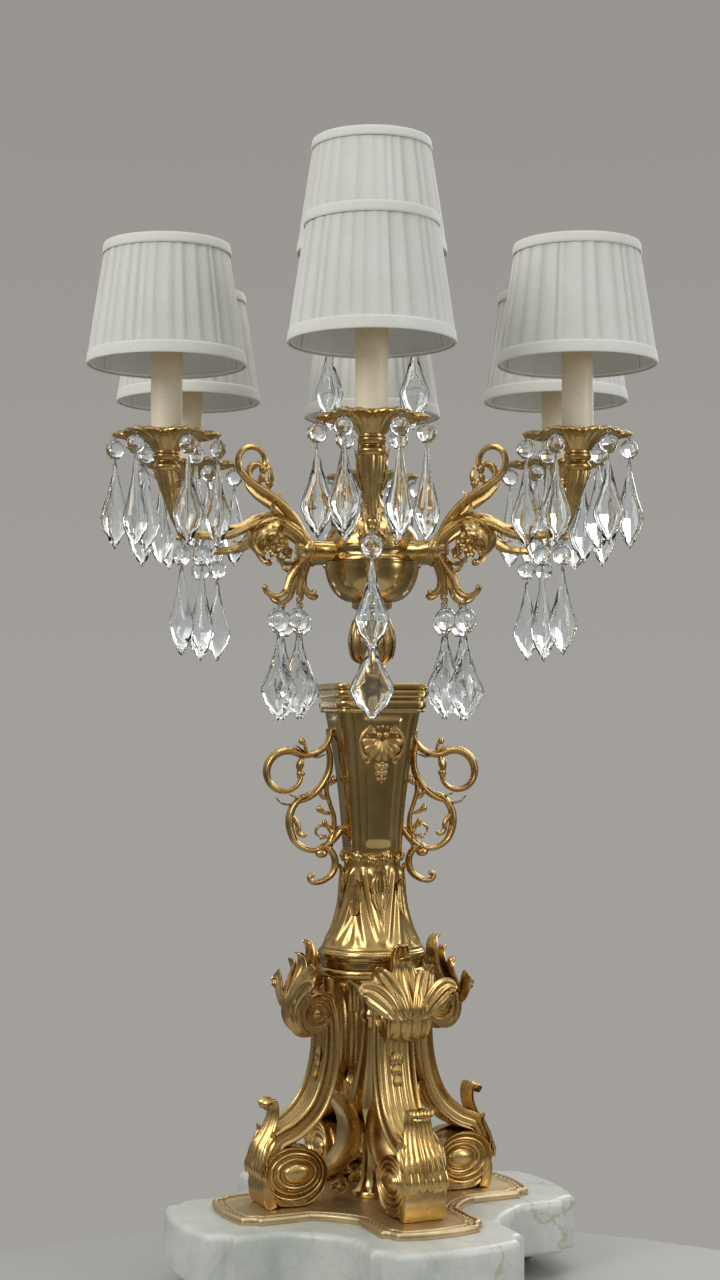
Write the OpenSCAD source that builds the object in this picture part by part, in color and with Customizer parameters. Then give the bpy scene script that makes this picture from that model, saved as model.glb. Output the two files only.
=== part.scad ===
// Seven-light candelabra table lamp: gilt casting, marble foot, crystal drops and pleated shades.
// Millimetres, +Z up. The origin is on the lamp's axis, at the plane that its feet stand on.

/* [Marble and feet] */
// Distance from the axis to the tip of a marble lobe
marble_reach = 164; // [150:1:180]
// Half of the width of a marble lobe
marble_lobe = 62; // [52:1:68]
// Distance from the axis to the bottom of a marble notch
marble_notch = 112; // [100:1:120]
// Thickness of the marble slab
marble_h = 42; // [30:1:55]
// Height of a bun foot
foot_h = 18; // [12:1:26]
// Largest radius of a bun foot
foot_r = 11; // [8:0.5:14]
// Distance from the axis to a bun foot
foot_ring = 132; // [118:1:136]

/* [Gilt plate and legs] */
// Distance from the axis to the tip of a plate lobe
plate_reach = 128; // [122:1:136]
// Half of the width of a plate lobe
plate_lobe = 42; // [38:1:48]
// Distance from the axis to the bottom of a plate notch
plate_notch = 76; // [70:1:84]
// Thickness of the gilt plate
plate_h = 5; // [3:0.5:8]
// Turn of the base about the axis, in degrees
base_turn = 24; // [0:1:45]
// Height of a leg between the plate and the neck ring
leg_h = 173; // [150:1:190]
// Width of a leg's band, across the leg
leg_w = 34; // [26:1:38]
// Thickness of a leg's band
leg_t = 11; // [9:0.5:13]

/* [Neck ring and vase] */
// Radius of the neck ring
ring_r = 43; // [40:0.5:46]
// Height of the neck ring
ring_h = 22; // [16:1:28]
// Height of the leafy foot under the vase
vase_foot_h = 76; // [66:1:90]
// Height of the vase body
vase_h = 110; // [95:1:130]
// Half of the width of the vase at its bottom
vase_low = 20.5; // [18:0.5:23]
// Half of the width of the vase at its top
vase_top = 33; // [30:0.5:36]
// Height of the moulded cap on the vase
cap_h = 23; // [18:1:28]
// Turn of the vase about the axis, in degrees
vase_turn = 15; // [0:1:30]
// Reach of a scroll handle from the face of the vase
handle_reach = 56; // [48:1:62]
// Thickness of a scroll handle
handle_t = 5; // [4:0.5:7]

/* [Stem and hub] */
// Height of the fluted stem urn
urn_h = 65; // [56:1:75]
// Largest radius of the stem urn
urn_r = 19; // [16:0.5:22]
// Radius of the hub
hub_r = 38; // [35:0.5:42]
// Height of the lower bowl of the hub
bowl_h = 32; // [28:1:36]
// Height of the upper cover of the hub
cover_h = 40; // [36:1:46]
// Wall of the hub castings
hub_wall = 2.5; // [2:0.25:4]
// Radius of the sockets that carry the arms
socket_r = 8; // [7:0.5:9]
// Distance from the axis to the end of an arm socket
socket_end = 56; // [52:1:60]
// Height of the raised middle candle over the ring of arms
middle_rise = 106; // [95:1:125]

/* [Arms and candles] */
// Number of candle arms
arm_count = 6; // [3:1:6]
// Distance from the axis to a candle
arm_reach = 180; // [170:1:190]
// Height of an arm's cup over the socket axis
arm_rise = 68; // [62:1:76]
// Radius of a drip pan at its leaf tips
pan_r = 42; // [38:0.5:46]
// Height of a drip pan
pan_h = 17; // [14:0.5:20]
// Outer radius of a candle sleeve
sleeve_r = 12; // [11:0.25:13.5]
// Wall of a candle sleeve
sleeve_wall = 1.4; // [1:0.1:2]
// Height of a candle sleeve
sleeve_h = 82; // [74:1:90]
// Radius of a bulb's glass
bulb_r = 15; // [13:0.5:16.5]
// Height of a bulb's glass
bulb_h = 58; // [50:1:62]

/* [Shades] */
// Radius of a shade at its bottom rim
shade_low_r = 61; // [56:0.5:66]
// Radius of a shade at its top rim
shade_top_r = 48; // [44:0.5:52]
// Height of a shade
shade_h = 92; // [84:1:100]
// Height of a shade's bottom rim over the foot of its candle sleeve
shade_rise = 57; // [50:1:62]
// Thickness of a shade's lined fabric
shade_t = 1.5; // [1:0.1:2.5]
// Thickness of the wires of a shade's frame
shade_wire = 2; // [1.5:0.25:3]

/* [Crystal drops] */
// Length of a large drop
drop_l = 68; // [60:1:72]
// Width of a large drop
drop_w = 30; // [24:1:34]
// Thickness of a large drop
drop_t = 11; // [8:0.5:13]
// Diameter of the bead over a drop
bead_d = 21; // [17:0.5:23]
// Drops round each drip pan
pan_drop_count = 6; // [3:1:6]

/* [Hidden] */
// Radial clearance of the tie rod and of the candle tubes in their holes
fit = 0.1;
// Gap between parts that move past each other
play = 0.4;
rod_r = 5;
rod_hole = rod_r + fit;
lobes = 4;
recess_h = 12;
round_fn = 96;

marble_z = foot_h;
plate_z = marble_z + marble_h;
leg_z = plate_z + plate_h;
ring_z = leg_z + leg_h;
vase_foot_z = ring_z + ring_h;
vase_z = vase_foot_z + vase_foot_h;
cap_z = vase_z + vase_h;
urn_z = cap_z + cap_h;
bowl_z = urn_z + urn_h;
cover_z = bowl_z + bowl_h;
socket_z = cover_z + socket_r;
stem_z = cover_z + cover_h;
cup_z = socket_z + arm_rise;
sleeve_lift = 10;
stem_top = cup_z + middle_rise;
shade_lift = sleeve_lift + shade_rise;

arm_names = [for (i = [1:arm_count]) str("arm_", i)];
pan_names = [for (i = [1:arm_count + 1]) str("drip_pan_", i)];
sleeve_names = [for (i = [1:arm_count + 1]) str("candle_sleeve_", i)];
shade_names = [for (i = [1:arm_count + 1]) str("shade_", i)];
swing_names = [for (i = [1:arm_count]) str("swing_drops_", i)];
leg_names = [for (i = [1:lobes]) str("leg_", i)];

gilt = "#b8923f";
marble_white = "#dfe3dd";
ivory = "#e6dcc0";
cloth = "#eef0ea";
crystal = "#cfd8d6";
steel = "#8f9294";

// Points and curves
function mix(a, b, k) = a + (b - a) * k;
function catmull(a, b, c, d, t) = 0.5 * (2 * b + (c - a) * t + (2 * a - 5 * b + 4 * c - d) * t * t
    + (3 * b - a - 3 * c + d) * t * t * t);
// A smooth curve through hand-picked points, with n steps between each two
function smooth(p, n) = [
    for (i = [0:len(p) - 2])
        for (k = [0:n - 1])
            catmull(p[max(i - 1, 0)], p[i], p[i + 1], p[min(i + 2, len(p) - 1)], k / n),
    p[len(p) - 1]
];
// A spiral about c from radius ra at angle a to radius rb at angle b
function spiral(c, ra, rb, a, b, n) = [
    for (k = [0:n])
        c + mix(ra, rb, k / n) * [cos(mix(a, b, k / n)), sin(mix(a, b, k / n))]
];
function tangent(p, i) = let (d = p[min(i + 1, len(p) - 1)] - p[max(i - 1, 0)]) d / norm(d);
function ring_sum(r, i = 0) = i == len(r) ? [0, 0, 0] : r[i] + ring_sum(r, i + 1);

// A closed solid through rings of equally many points, with its end caps fanned from their middles
module loft(rings) {
    m = len(rings[0]);
    n = len(rings);
    first = ring_sum(rings[0]) / m;
    last = ring_sum(rings[n - 1]) / m;
    sides = [
        for (i = [0:n - 2])
            for (j = [0:m - 1])
                let (a = i * m + j, b = i * m + (j + 1) % m, c = a + m, d = b + m)
                    each [[a, c, b], [b, c, d]]
    ];
    ends = [
        for (j = [0:m - 1])
            let (k = (j + 1) % m)
                each [[n * m, j, k], [n * m + 1, (n - 1) * m + k, (n - 1) * m + j]]
    ];
    polyhedron(points = concat([for (r = rings) each r], [first, last]), faces = concat(sides, ends));
}

// A moulded strip along a path in the XZ plane. t and w are its half thickness and half width, each a
// list that is spread evenly along the path, and section is its outline as shares of the two.
function spread(list, k) = let (
    f = k * (len(list) - 1),
    i = min(floor(f), len(list) - 2)
) mix(list[i], list[i + 1], f - i);
function round_section(n) = [for (j = [0:n - 1]) [cos(360 * (j + 0.5) / n), sin(360 * (j + 0.5) / n)]];
band_section = [[-1, 0], [-0.55, -0.4], [-0.95, -0.75], [-0.8, -1], [0.8, -1], [1, 0], [0.8, 1], [-0.8, 1],
    [-0.95, 0.75], [-0.55, 0.4]];
module strip(path, t, w, section) {
    n = len(path) - 1;
    loft([
        for (i = [0:n])
            let (d = tangent(path, i), out = [d[1], -d[0]], ht = spread(t, i / n), hw = spread(w, i / n))
                [for (s = section) let (q = path[i] + out * s[0] * ht) [q[0], s[1] * hw, q[1]]]
    ]);
}

// The outline of a flat scroll of half thickness t about a path
function scroll_side(path, t, sign) = [
    for (i = [0:len(path) - 1])
        let (d = tangent(path, i)) path[i] + sign * spread(t, i / (len(path) - 1)) * [d[1], -d[0]]
];
module flat_strip(path, t, w) {
    far = scroll_side(path, t, -1);
    rotate([90, 0, 0])
        linear_extrude(height = 2 * w, center = true)
            polygon(concat(scroll_side(path, t, 1), [for (i = [len(far) - 1:-1:0]) far[i]]));
}

// A ring of copies about the axis
module around(count, turn = 0) {
    for (i = [0:count - 1])
        rotate([0, 0, turn + 360 * i / count]) children();
}
function arm_angle(i) = 360 * i / arm_count - 90;

// Marble, plate and feet
// One side of a lobed outline: a hollow notch, a small ear and a bowed tip
function lobe_side(reach, half, notch) = let (
    ear = half * 0.12,
    c = (notch + half * 1.25) / sqrt(2) + half * 0.2,
    r = c * sqrt(2) - notch,
    a = asin(min(1, (c - half) / r))
) concat(
    [for (k = [0:6]) let (g = mix(225, 180 + a, k / 6)) [c + r * cos(g), c + r * sin(g)]],
    [[reach - half * 0.42, half], [reach - half * 0.36, half - ear], [reach - half * 0.14, half - ear * 1.6]],
    [for (k = [0:3]) let (v = 1 - k / 4) [reach - half * 0.1 * v * v, (half - ear * 2.4) * v]]
);
function lobed(reach, half, notch) = let (
    side = lobe_side(reach, half, notch),
    tip = [[reach, 0]],
    upper = [for (k = [len(side) - 1:-1:1]) side[k]],
    lower = [for (k = [1:len(side) - 1]) [side[k][0], -side[k][1]]],
    middle = [side[0]]
) [
    for (i = [0:lobes - 1])
        let (g = 360 * i / lobes)
            for (p = concat(lower, tip, upper, middle))
                [p[0] * cos(g) - p[1] * sin(g), p[0] * sin(g) + p[1] * cos(g)]
];
function ring_at(outline, z, k) = [for (p = outline) [p[0] * k, p[1] * k, z]];

module marble_slab() {
    outline = lobed(marble_reach, marble_lobe, marble_notch);
    edge = 5;
    inset = 1 - edge / marble_reach;
    recess_r = 16;
    color(marble_white)
        difference() {
            rotate([0, 0, base_turn])
                loft([
                    ring_at(outline, marble_z, inset),
                    ring_at(outline, marble_z + edge * 0.5, 1),
                    ring_at(outline, plate_z - edge, 1),
                    ring_at(outline, plate_z - edge * 0.3, mix(1, inset, 0.3)),
                    ring_at(outline, plate_z, inset)
                ]);
            translate([0, 0, marble_z - 1]) cylinder(r = rod_hole, h = marble_h + 2, $fn = round_fn);
            translate([0, 0, marble_z - 1]) cylinder(r = recess_r, h = recess_h + 1, $fn = round_fn);
        }
}

module bun_feet() {
    neck = foot_r * 0.62;
    color(gilt)
        around(lobes, base_turn)
            translate([foot_ring, 0, 0])
                rotate_extrude($fn = round_fn)
                    polygon([
                        [0, 0], [foot_r * 0.7, 0], [foot_r * 0.94, foot_h * 0.14], [foot_r, foot_h * 0.34],
                        [foot_r * 0.9, foot_h * 0.54], [neck, foot_h * 0.68], [neck, foot_h * 0.84],
                        [foot_r * 0.86, foot_h * 0.9], [foot_r * 0.86, foot_h], [0, foot_h]
                    ]);
}

module gilt_plate() {
    outline = lobed(plate_reach, plate_lobe, plate_notch);
    color(gilt)
        difference() {
            rotate([0, 0, base_turn])
                loft([
                    ring_at(outline, plate_z, 1),
                    ring_at(outline, plate_z + plate_h * 0.4, 1),
                    ring_at(outline, plate_z + plate_h * 0.6, 0.975),
                    ring_at(outline, leg_z, 0.96)
                ]);
            translate([0, 0, plate_z - 1]) cylinder(r = rod_hole, h = plate_h + 2, $fn = round_fn);
        }
}

// Legs
module leg() {
    top = leg_h;
    pad_r = 7;
    pad_x = ring_r - pad_r - 1;
    // Where the foot scroll turns, and where the small scroll at the top turns
    foot_eye = [66, 27];
    head_eye = [52, top - 26];
    shaft = concat(
        [for (k = [0:2]) head_eye + 12 * [cos(60 + 37 * k), sin(60 + 37 * k)]],
        smooth([[38, top - 30], [34, top - 46], [36, top * 0.57], [48, 73], [66, 57], [86, 52]], 2),
        spiral(foot_eye, 29, 15, 30, -300, 11)
    );
    inner = smooth([[40, 88], [30, 78], [23, 64], [22, 50], [30, 34], [46, 27]], 2);
    toe = smooth([[46, 14], [36, 10], [27, 15], [28, 24], [34, 22]], 2);
    crest = smooth([[50, top - 42], [61, top - 38], [64, top - 25], [59, top - 6], [53, top + 8],
        [50, top + 22]], 2);
    band = [0.3, 0.42, 0.5, 0.52, 0.46, 0.4] * leg_t;
    rim_w = leg_w * 0.09;
    difference() {
        union() {
            flat_strip(shaft, band, leg_w * 0.42);
            for (side = [-1, 1])
                translate([0, side * (leg_w / 2 - rim_w), 0]) flat_strip(shaft, band * 1.16, rim_w);
            flat_strip(inner, [3, 4, 4.5, 4, 3.5], leg_w * 0.32);
            flat_strip(toe, [3, 3.5, 2.5], leg_w * 0.26);
            strip(crest, [2.5, 4, 4, 3, 2.2], [8, 18, 25, 22, 15, 6], round_section(6));
            for (eye = [[foot_eye, 12, 0.5], [head_eye, 10, 0.46]])
                translate([eye[0][0], leg_w * eye[2], eye[0][1]])
                    rotate([90, 0, 0]) cylinder(r = eye[1], h = 2 * leg_w * eye[2], $fn = round_fn);
            translate([pad_x, 0, top - 34]) cylinder(r = pad_r, h = 34, $fn = round_fn);
        }
        translate([0, -leg_w, -leg_w]) cube([plate_reach, leg_w * 2, leg_w]);
    }
}

module leg_at(i) {
    color(gilt)
        rotate([0, 0, base_turn + 360 * (i - 1) / lobes])
            translate([0, 0, leg_z]) leg();
}

module centre_baluster() {
    color(gilt)
        difference() {
            translate([0, 0, leg_z])
                rotate_extrude($fn = round_fn)
                    polygon([
                        [0, 0], [16, 0], [16, 4], [12, 7], [9, 14], [8, 30], [9, 44], [13, 52], [16.5, 62],
                        [17, 72], [15, 86], [11, 104], [8.5, leg_h * 0.7], [7.5, leg_h * 0.79],
                        [9.5, leg_h * 0.81], [9.5, leg_h * 0.83], [8, leg_h * 0.85], [13, leg_h * 0.925],
                        [20, leg_h - 5], [20, leg_h], [0, leg_h]
                    ]);
            translate([0, 0, leg_z - 1]) cylinder(r = rod_hole, h = leg_h + 2, $fn = round_fn);
        }
}

module neck_ring() {
    color(gilt)
        difference() {
            translate([0, 0, ring_z])
                rotate_extrude($fn = round_fn)
                    polygon([
                        [0, 0], [ring_r - 3, 0], [ring_r, ring_h * 0.16], [ring_r, ring_h * 0.28],
                        [ring_r - 2, ring_h * 0.34], [ring_r - 2, ring_h * 0.66], [ring_r, ring_h * 0.72],
                        [ring_r, ring_h * 0.94], [ring_r - 1, ring_h], [0, ring_h]
                    ]);
            translate([0, 0, ring_z - 1]) cylinder(r = rod_hole, h = ring_h + 2, $fn = round_fn);
        }
}

// Vase
// A square outline with cut corners and a raised panel on each side; half is half of its width
function vase_outline(half) = let (cut = half * 0.3, panel = half * 0.52, lift = half * 0.06) [
    for (i = [0:3])
        let (g = 90 * i)
            for (p = [[half, -half + cut], [half - lift, -panel], [half, -panel * 0.9], [half, panel * 0.9],
                [half - lift, panel], [half, half - cut]])
                [p[0] * cos(g) - p[1] * sin(g), p[0] * sin(g) + p[1] * cos(g)]
];
// Half of the vase's width at a share k of its height
function vase_half(k) = mix(vase_low, vase_top, 0.35 * k + 0.65 * k * k);

module vase_body() {
    color(gilt)
        difference() {
            rotate([0, 0, vase_turn])
                loft([for (k = [0:0.2:1.001]) ring_at(vase_outline(vase_half(k)), vase_z + vase_h * k, 1)]);
            translate([0, 0, vase_z - 1]) cylinder(r = rod_hole, h = vase_h + 2, $fn = round_fn);
        }
}

// The leafy foot goes from round at its rim to square under the vase, with leaf ribs between
module vase_foot() {
    steps = 40;
    rim = ring_r - 3;
    profile = [[rim, 0], [rim - 1, 0.04], [rim * 0.82, 0.14], [rim * 0.7, 0.3], [rim * 0.62, 0.5],
        [rim * 0.58, 0.72], [rim * 0.6, 0.86], [rim * 0.6, 0.94], [vase_low * 1.16, 1]];
    function rib(g, k) = 1 + 0.05 * sin(180 * k) * cos(4 * g) + 0.03 * sin(180 * k) * cos(16 * g);
    color(gilt)
        difference() {
            rotate([0, 0, vase_turn + 45])
                loft([
                    for (p = profile)
                        [for (j = [0:steps - 1]) let (g = 360 * j / steps, r = p[0] * rib(g, p[1]))
                            [r * cos(g), r * sin(g), vase_foot_z + vase_foot_h * p[1]]]
                ]);
            translate([0, 0, vase_foot_z - 1]) cylinder(r = rod_hole, h = vase_foot_h + 2, $fn = round_fn);
        }
}

module vase_cap() {
    bands = [[0, 0.14, 1.05], [0.14, 0.42, 1.08], [0.42, 0.5, 1.04], [0.5, 0.8, 1.12], [0.8, 1, 1.17]];
    cut = vase_top * 0.16;
    color(gilt)
        difference() {
            rotate([0, 0, vase_turn])
                translate([0, 0, cap_z])
                    for (b = bands) {
                        h = vase_top * b[2];
                        translate([0, 0, cap_h * b[0]])
                            linear_extrude(height = cap_h * (b[1] - b[0]))
                                polygon([[h, -h + cut], [h, h - cut], [h - cut, h], [cut - h, h], [-h, h - cut],
                                    [-h, cut - h], [cut - h, -h], [h - cut, -h]]);
                    }
            translate([0, 0, cap_z - 1]) cylinder(r = rod_hole, h = cap_h + 2, $fn = round_fn);
        }
}

// A scroll handle, drawn outward from the side of the vase, which it meets at the ends of two pegs
module handle() {
    peg_r = 2.6;
    peg_gap = 0.15;
    z_high = vase_h * 0.86;
    z_low = vase_h * 0.16;
    x_high = vase_half(0.86);
    x_low = vase_half(0.16);
    reach = vase_top + handle_reach;
    w = handle_t;
    upper = concat(
        smooth([[x_high + 5, z_high + 2], [x_high + 9, z_high - 14], [x_high + 24, z_high - 19],
            [reach - 21, z_high - 13]], 2),
        spiral([reach - 19, z_high - 33], 19, 13, 80, -200, 12)
    );
    lower = smooth([[x_high + 9, z_high - 14], [x_high + 4, z_high - 34], [x_high + 14, z_high - 52],
        [reach - 32, z_high - 58], [reach - 22, z_low + 18], [reach - 32, z_low - 6], [x_low + 20, z_low - 13]], 2);
    tail = smooth([[x_low + 21, z_low - 13], [x_low + 12, z_low - 6], [x_low + 5, z_low - 1]], 2);
    curl = spiral([x_low + 25, z_low - 27], 14, 5, 90, 330, 8);
    color(gilt)
        translate([0, 0, vase_z])
            union() {
                flat_strip(upper, [2.5, 3, 3.2, 2], w);
                flat_strip(lower, [2.4, 3, 3, 3.2, 2.6], w * 0.9);
                flat_strip(tail, [2.6, 2.4], w * 0.7);
                flat_strip(curl, [2.6, 3, 1.8], w * 0.8);
                for (k = [0.86, 0.16]) {
                    z = vase_h * k;
                    x = vase_half(k + peg_r / vase_h) + peg_gap;
                    translate([x, 0, z]) rotate([0, 90, 0]) cylinder(r = peg_r, h = 6, $fn = round_fn);
                }
            }
}

module shell_mounts() {
    plate_t = 2.5;
    tilt = atan2(vase_half(0.92) - vase_half(0.5), vase_h * 0.42);
    z = vase_z + vase_h * 0.76;
    color(gilt)
        for (turn = [-90, 90])
            rotate([0, 0, vase_turn + turn])
                translate([vase_half(0.76) + 0.9, 0, z])
                    rotate([0, 90 + tilt, 0])
                        linear_extrude(height = plate_t)
                            polygon([for (j = [0:35]) let (g = 10 * j, r = 13 + 1.6 * abs(sin(4.5 * g)))
                                [r * cos(g) * 1.05, r * sin(g)]]);
}

// Stem and hub
module stem_urn() {
    h = urn_h;
    color(gilt)
        difference() {
            translate([0, 0, urn_z])
                rotate_extrude($fn = round_fn)
                    polygon([
                        [0, 0], [urn_r * 0.8, 0], [urn_r * 0.8, h * 0.03], [urn_r * 0.5, h * 0.07],
                        [urn_r * 0.44, h * 0.16], [urn_r * 0.55, h * 0.2], [urn_r * 0.5, h * 0.24],
                        [urn_r * 0.78, h * 0.3], [urn_r * 0.96, h * 0.42], [urn_r, h * 0.54],
                        [urn_r * 0.94, h * 0.68], [urn_r * 0.7, h * 0.84], [urn_r * 0.6, h * 0.9],
                        [urn_r * 0.85, h * 0.94], [urn_r * 0.85, h], [0, h]
                    ]);
            translate([0, 0, urn_z - 1]) cylinder(r = rod_hole, h = h + 2, $fn = round_fn);
        }
}

module hub_bowl() {
    seat = urn_r * 0.85;
    function outer(k) = [seat + (hub_r - seat) * sin(90 * k), bowl_h * (1 - cos(90 * k))];
    color(gilt)
        difference() {
            translate([0, 0, bowl_z])
                rotate_extrude($fn = round_fn)
                    polygon(concat(
                        [[0, 0]],
                        [for (k = [0:0.125:1.001]) outer(k)],
                        [for (k = [1:-0.125:-0.001]) outer(k) + [-hub_wall, hub_wall * (1 - k)]],
                        [[0, hub_wall]]
                    ));
            translate([0, 0, bowl_z - 1]) cylinder(r = rod_hole, h = bowl_h, $fn = round_fn);
        }
}

module hub_cover() {
    wire_r = 3.5;
    neck = 12;
    function dome(k, off) = [mix(neck, hub_r, cos(90 * k)) - off, cover_h * (0.28 + 0.66 * sin(90 * k)) - off];
    color(gilt)
        difference() {
            translate([0, 0, cover_z])
                union() {
                    rotate_extrude($fn = round_fn)
                        polygon(concat(
                            [[hub_r - hub_wall, 0], [hub_r, 0], [hub_r, cover_h * 0.08],
                                [hub_r - 1.5, cover_h * 0.12], [hub_r - 1.5, cover_h * 0.24], [hub_r, cover_h * 0.28]],
                            [for (k = [0.125:0.125:1.001]) dome(k, 0)],
                            [[neck, cover_h], [0, cover_h], [0, cover_h * 0.94 - hub_wall]],
                            [for (k = [1:-0.25:-0.001]) dome(k, hub_wall)]
                        ));
                    around(arm_count, -90)
                        translate([hub_r - hub_wall - 1, 0, socket_r])
                            rotate([0, 90, 0])
                                cylinder(r = socket_r, h = socket_end - hub_r + hub_wall + 1, $fn = round_fn);
                }
            around(arm_count, -90)
                translate([hub_r - hub_wall - 3, 0, socket_z])
                    rotate([0, 90, 0]) cylinder(r = wire_r, h = socket_end, $fn = round_fn);
            translate([0, 0, stem_z - hub_wall * 4]) cylinder(r = wire_r, h = hub_wall * 5, $fn = round_fn);
        }
}

module middle_stem() {
    h = stem_top - stem_z;
    color(gilt)
        difference() {
            translate([0, 0, stem_z])
                rotate_extrude($fn = round_fn)
                    polygon([
                        [0, 0], [12, 0], [12, h * 0.02], [8, h * 0.05], [6, h * 0.1], [9, h * 0.16], [12, h * 0.26],
                        [12.5, h * 0.34], [10, h * 0.46], [6.5, h * 0.58], [5.8, h * 0.66], [8, h * 0.69],
                        [5.8, h * 0.72], [6.5, h * 0.8], [9, h * 0.9], [11, h * 0.94], [11, h], [0, h]
                    ]);
            translate([0, 0, stem_z - 1]) cylinder(r = 3.5, h = h + 2, $fn = round_fn);
            translate([0, 0, stem_top - holder_pin]) cylinder(r = holder_r + fit, h = holder_pin + 1, $fn = round_fn);
        }
}

module tie_rod() {
    low = marble_z + 2;
    color(steel)
        translate([0, 0, low]) cylinder(r = rod_r, h = bowl_z + recess_h - low, $fn = round_fn);
}

module rod_nuts() {
    h = 8;
    washer = 2;
    low = marble_z + recess_h - washer - h;
    color(steel)
        difference() {
            union() {
                translate([0, 0, low]) cylinder(r = 11, h = h, $fn = 6);
                translate([0, 0, low + h]) cylinder(r = 13, h = washer, $fn = round_fn);
                translate([0, 0, bowl_z + hub_wall]) cylinder(r = 9, h = h, $fn = 6);
            }
            translate([0, 0, low - 1]) cylinder(r = rod_hole, h = bowl_z, $fn = round_fn);
        }
}

// Arms: a flange on the hub socket, a branch that ends in a fluted horn, two volutes over it and a
// hooked leaf under it. Radial distance runs along X.
holder_r = 4.8;
holder_pin = 7;
hook_r = [67, 84];
hook_z = -40;
hook_wire = 2.2;
elbow_r = [arm_reach - 30, arm_reach - 13];
elbow_z = 3.4;
module arm() {
    e = socket_end;
    r = arm_reach;
    branch = smooth([[e + 6.5, 0], [e + 12, 12], [e + 30, 22], [e + 52, 18], [r - 52, 9], [r - 26, 8],
        [r - 11, 14], [r - 4, 32], [r, arm_rise - 8]], 2);
    tall = concat(
        smooth([[e + 4, 3], [e + 14, 22], [e + 36, 34], [e + 56, 45]], 2),
        spiral([e + 61, 57], 13, 7, -35, 210, 8)
    );
    short = concat([[e + 48, 20], [e + 46, 32]], spiral([e + 37, 42], 9, 5, -25, 215, 6));
    under = smooth([[e + 4, -2], [e + 9, -13], [e + 17, -24], [e + 22, -33], [e + 30, -37], [e + 37, -34],
        [e + 41, -28]], 2);
    spur = smooth([[e + 5, -4], [e + 7, -16], [e + 9, -28], [e + 11, hook_z + 1]], 2);
    leaf = smooth([[e + 22, 19], [e + 40, 14], [e + 50, 4], [e + 47, -5], [e + 41, -3]], 2);
    color(gilt)
        difference() {
            union() {
                translate([e, 0, 0]) rotate([0, 90, 0]) cylinder(r = socket_r + 1, h = 7, $fn = round_fn);
                strip(branch, [6, 5, 4.6, 4.2, 4, 4, 4.2, 5.5, 8], [7, 6, 5, 4.4, 4, 4, 4.4, 6, 8], round_section(8));
                strip(tall, [4, 3.6, 3, 2.6, 2.2, 1.8], [6, 5, 4, 3, 2.6, 2.2], round_section(6));
                strip(short, [2.6, 2.4, 1.8], [3.4, 3, 2.2], round_section(6));
                strip(under, [4, 3.4, 2.6, 2.4, 2], [6, 5, 4, 3, 2.4], round_section(6));
                strip(spur, [3.4, 2.6, 2], [4, 3, 2], round_section(6));
                strip(leaf, [2.4, 2.4, 2, 1.6], [5, 7, 6, 3], round_section(6));
                for (x = hook_r)
                    translate([x - 1.2, 0, hook_z]) rotate([0, 90, 0]) cylinder(r = hook_wire, h = 2.4, $fn = round_fn);
                for (x = elbow_r)
                    translate([x, 0, elbow_z]) cylinder(r = 1.4, h = 8, $fn = round_fn);
                translate([r, 0, arm_rise - 9]) cylinder(r = 10.5, h = 9, $fn = round_fn);
            }
            translate([r, 0, arm_rise - holder_pin]) cylinder(r = holder_r + fit, h = holder_pin + 1, $fn = round_fn);
        }
}
module arm_at(i) {
    rotate([0, 0, arm_angle(i - 1)]) translate([0, 0, socket_z]) arm();
}

// Puts its children on the seat of candle i, where the last one is the raised middle candle
module on_candle(i) {
    if (i <= arm_count)
        rotate([0, 0, arm_angle(i - 1)]) translate([arm_reach, 0, cup_z]) children();
    else
        translate([0, 0, stem_top]) children();
}

pan_wall = 1.6;
pan_turn = 30;
pan_tip_z = pan_h * 0.86;
module drip_pan() {
    petals = pan_drop_count;
    h = pan_h;
    upper = [[pan_r * 0.36, h * 0.55], [pan_r * 0.46, h * 0.76], [pan_r * 0.62, h * 0.92], [pan_r * 0.82, h],
        [pan_r, pan_tip_z]];
    color(gilt)
        difference() {
            intersection() {
                rotate_extrude($fn = round_fn)
                    polygon(concat(
                        [[0, 0], [10, 0], [10, h * 0.12], [12, h * 0.22]],
                        [for (p = upper) p + [0.4, -pan_wall]],
                        [for (k = [len(upper) - 1:-1:0]) upper[k]],
                        [[sleeve_r + 2, sleeve_lift], [0, sleeve_lift]]
                    ));
                translate([0, 0, -1])
                    linear_extrude(height = h + 2)
                        polygon([for (j = [0:petals * 8 - 1]) let (g = 360 * j / (petals * 8))
                            pan_r * (0.86 + 0.14 * abs(cos(petals * g / 2))) * [cos(g + pan_turn), sin(g + pan_turn)]]);
            }
            translate([0, 0, -1]) cylinder(r = holder_r + fit, h = sleeve_lift + 2, $fn = round_fn);
        }
}

module candle_sleeve() {
    color(ivory)
        translate([0, 0, sleeve_lift])
            difference() {
                cylinder(r = sleeve_r, h = sleeve_h, $fn = round_fn);
                translate([0, 0, -1]) cylinder(r = sleeve_r - sleeve_wall, h = sleeve_h + 2, $fn = round_fn);
            }
}

// The holder's tube goes down through the pan into the arm, and its cup stands on the pan's seat
cup_top = sleeve_lift + sleeve_h - 12;
module lamp_holder() {
    color(ivory)
        union() {
            translate([0, 0, -holder_pin + 0.5]) cylinder(r = holder_r, h = sleeve_lift + holder_pin, $fn = round_fn);
            translate([0, 0, sleeve_lift]) cylinder(r = sleeve_r - sleeve_wall - 0.5, h = cup_top - sleeve_lift, $fn = round_fn);
        }
}
module bulb() {
    neck = sleeve_r - sleeve_wall - 1.5;
    z = sleeve_lift + sleeve_h;
    color("white")
        rotate_extrude($fn = round_fn)
            polygon([
                [0, cup_top], [neck, cup_top], [neck, z + 2], [bulb_r * 0.86, z + bulb_h * 0.2],
                [bulb_r, z + bulb_h * 0.36], [bulb_r * 0.94, z + bulb_h * 0.54], [bulb_r * 0.66, z + bulb_h * 0.78],
                [bulb_r * 0.26, z + bulb_h * 0.95], [0, z + bulb_h]
            ]);
}

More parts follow.
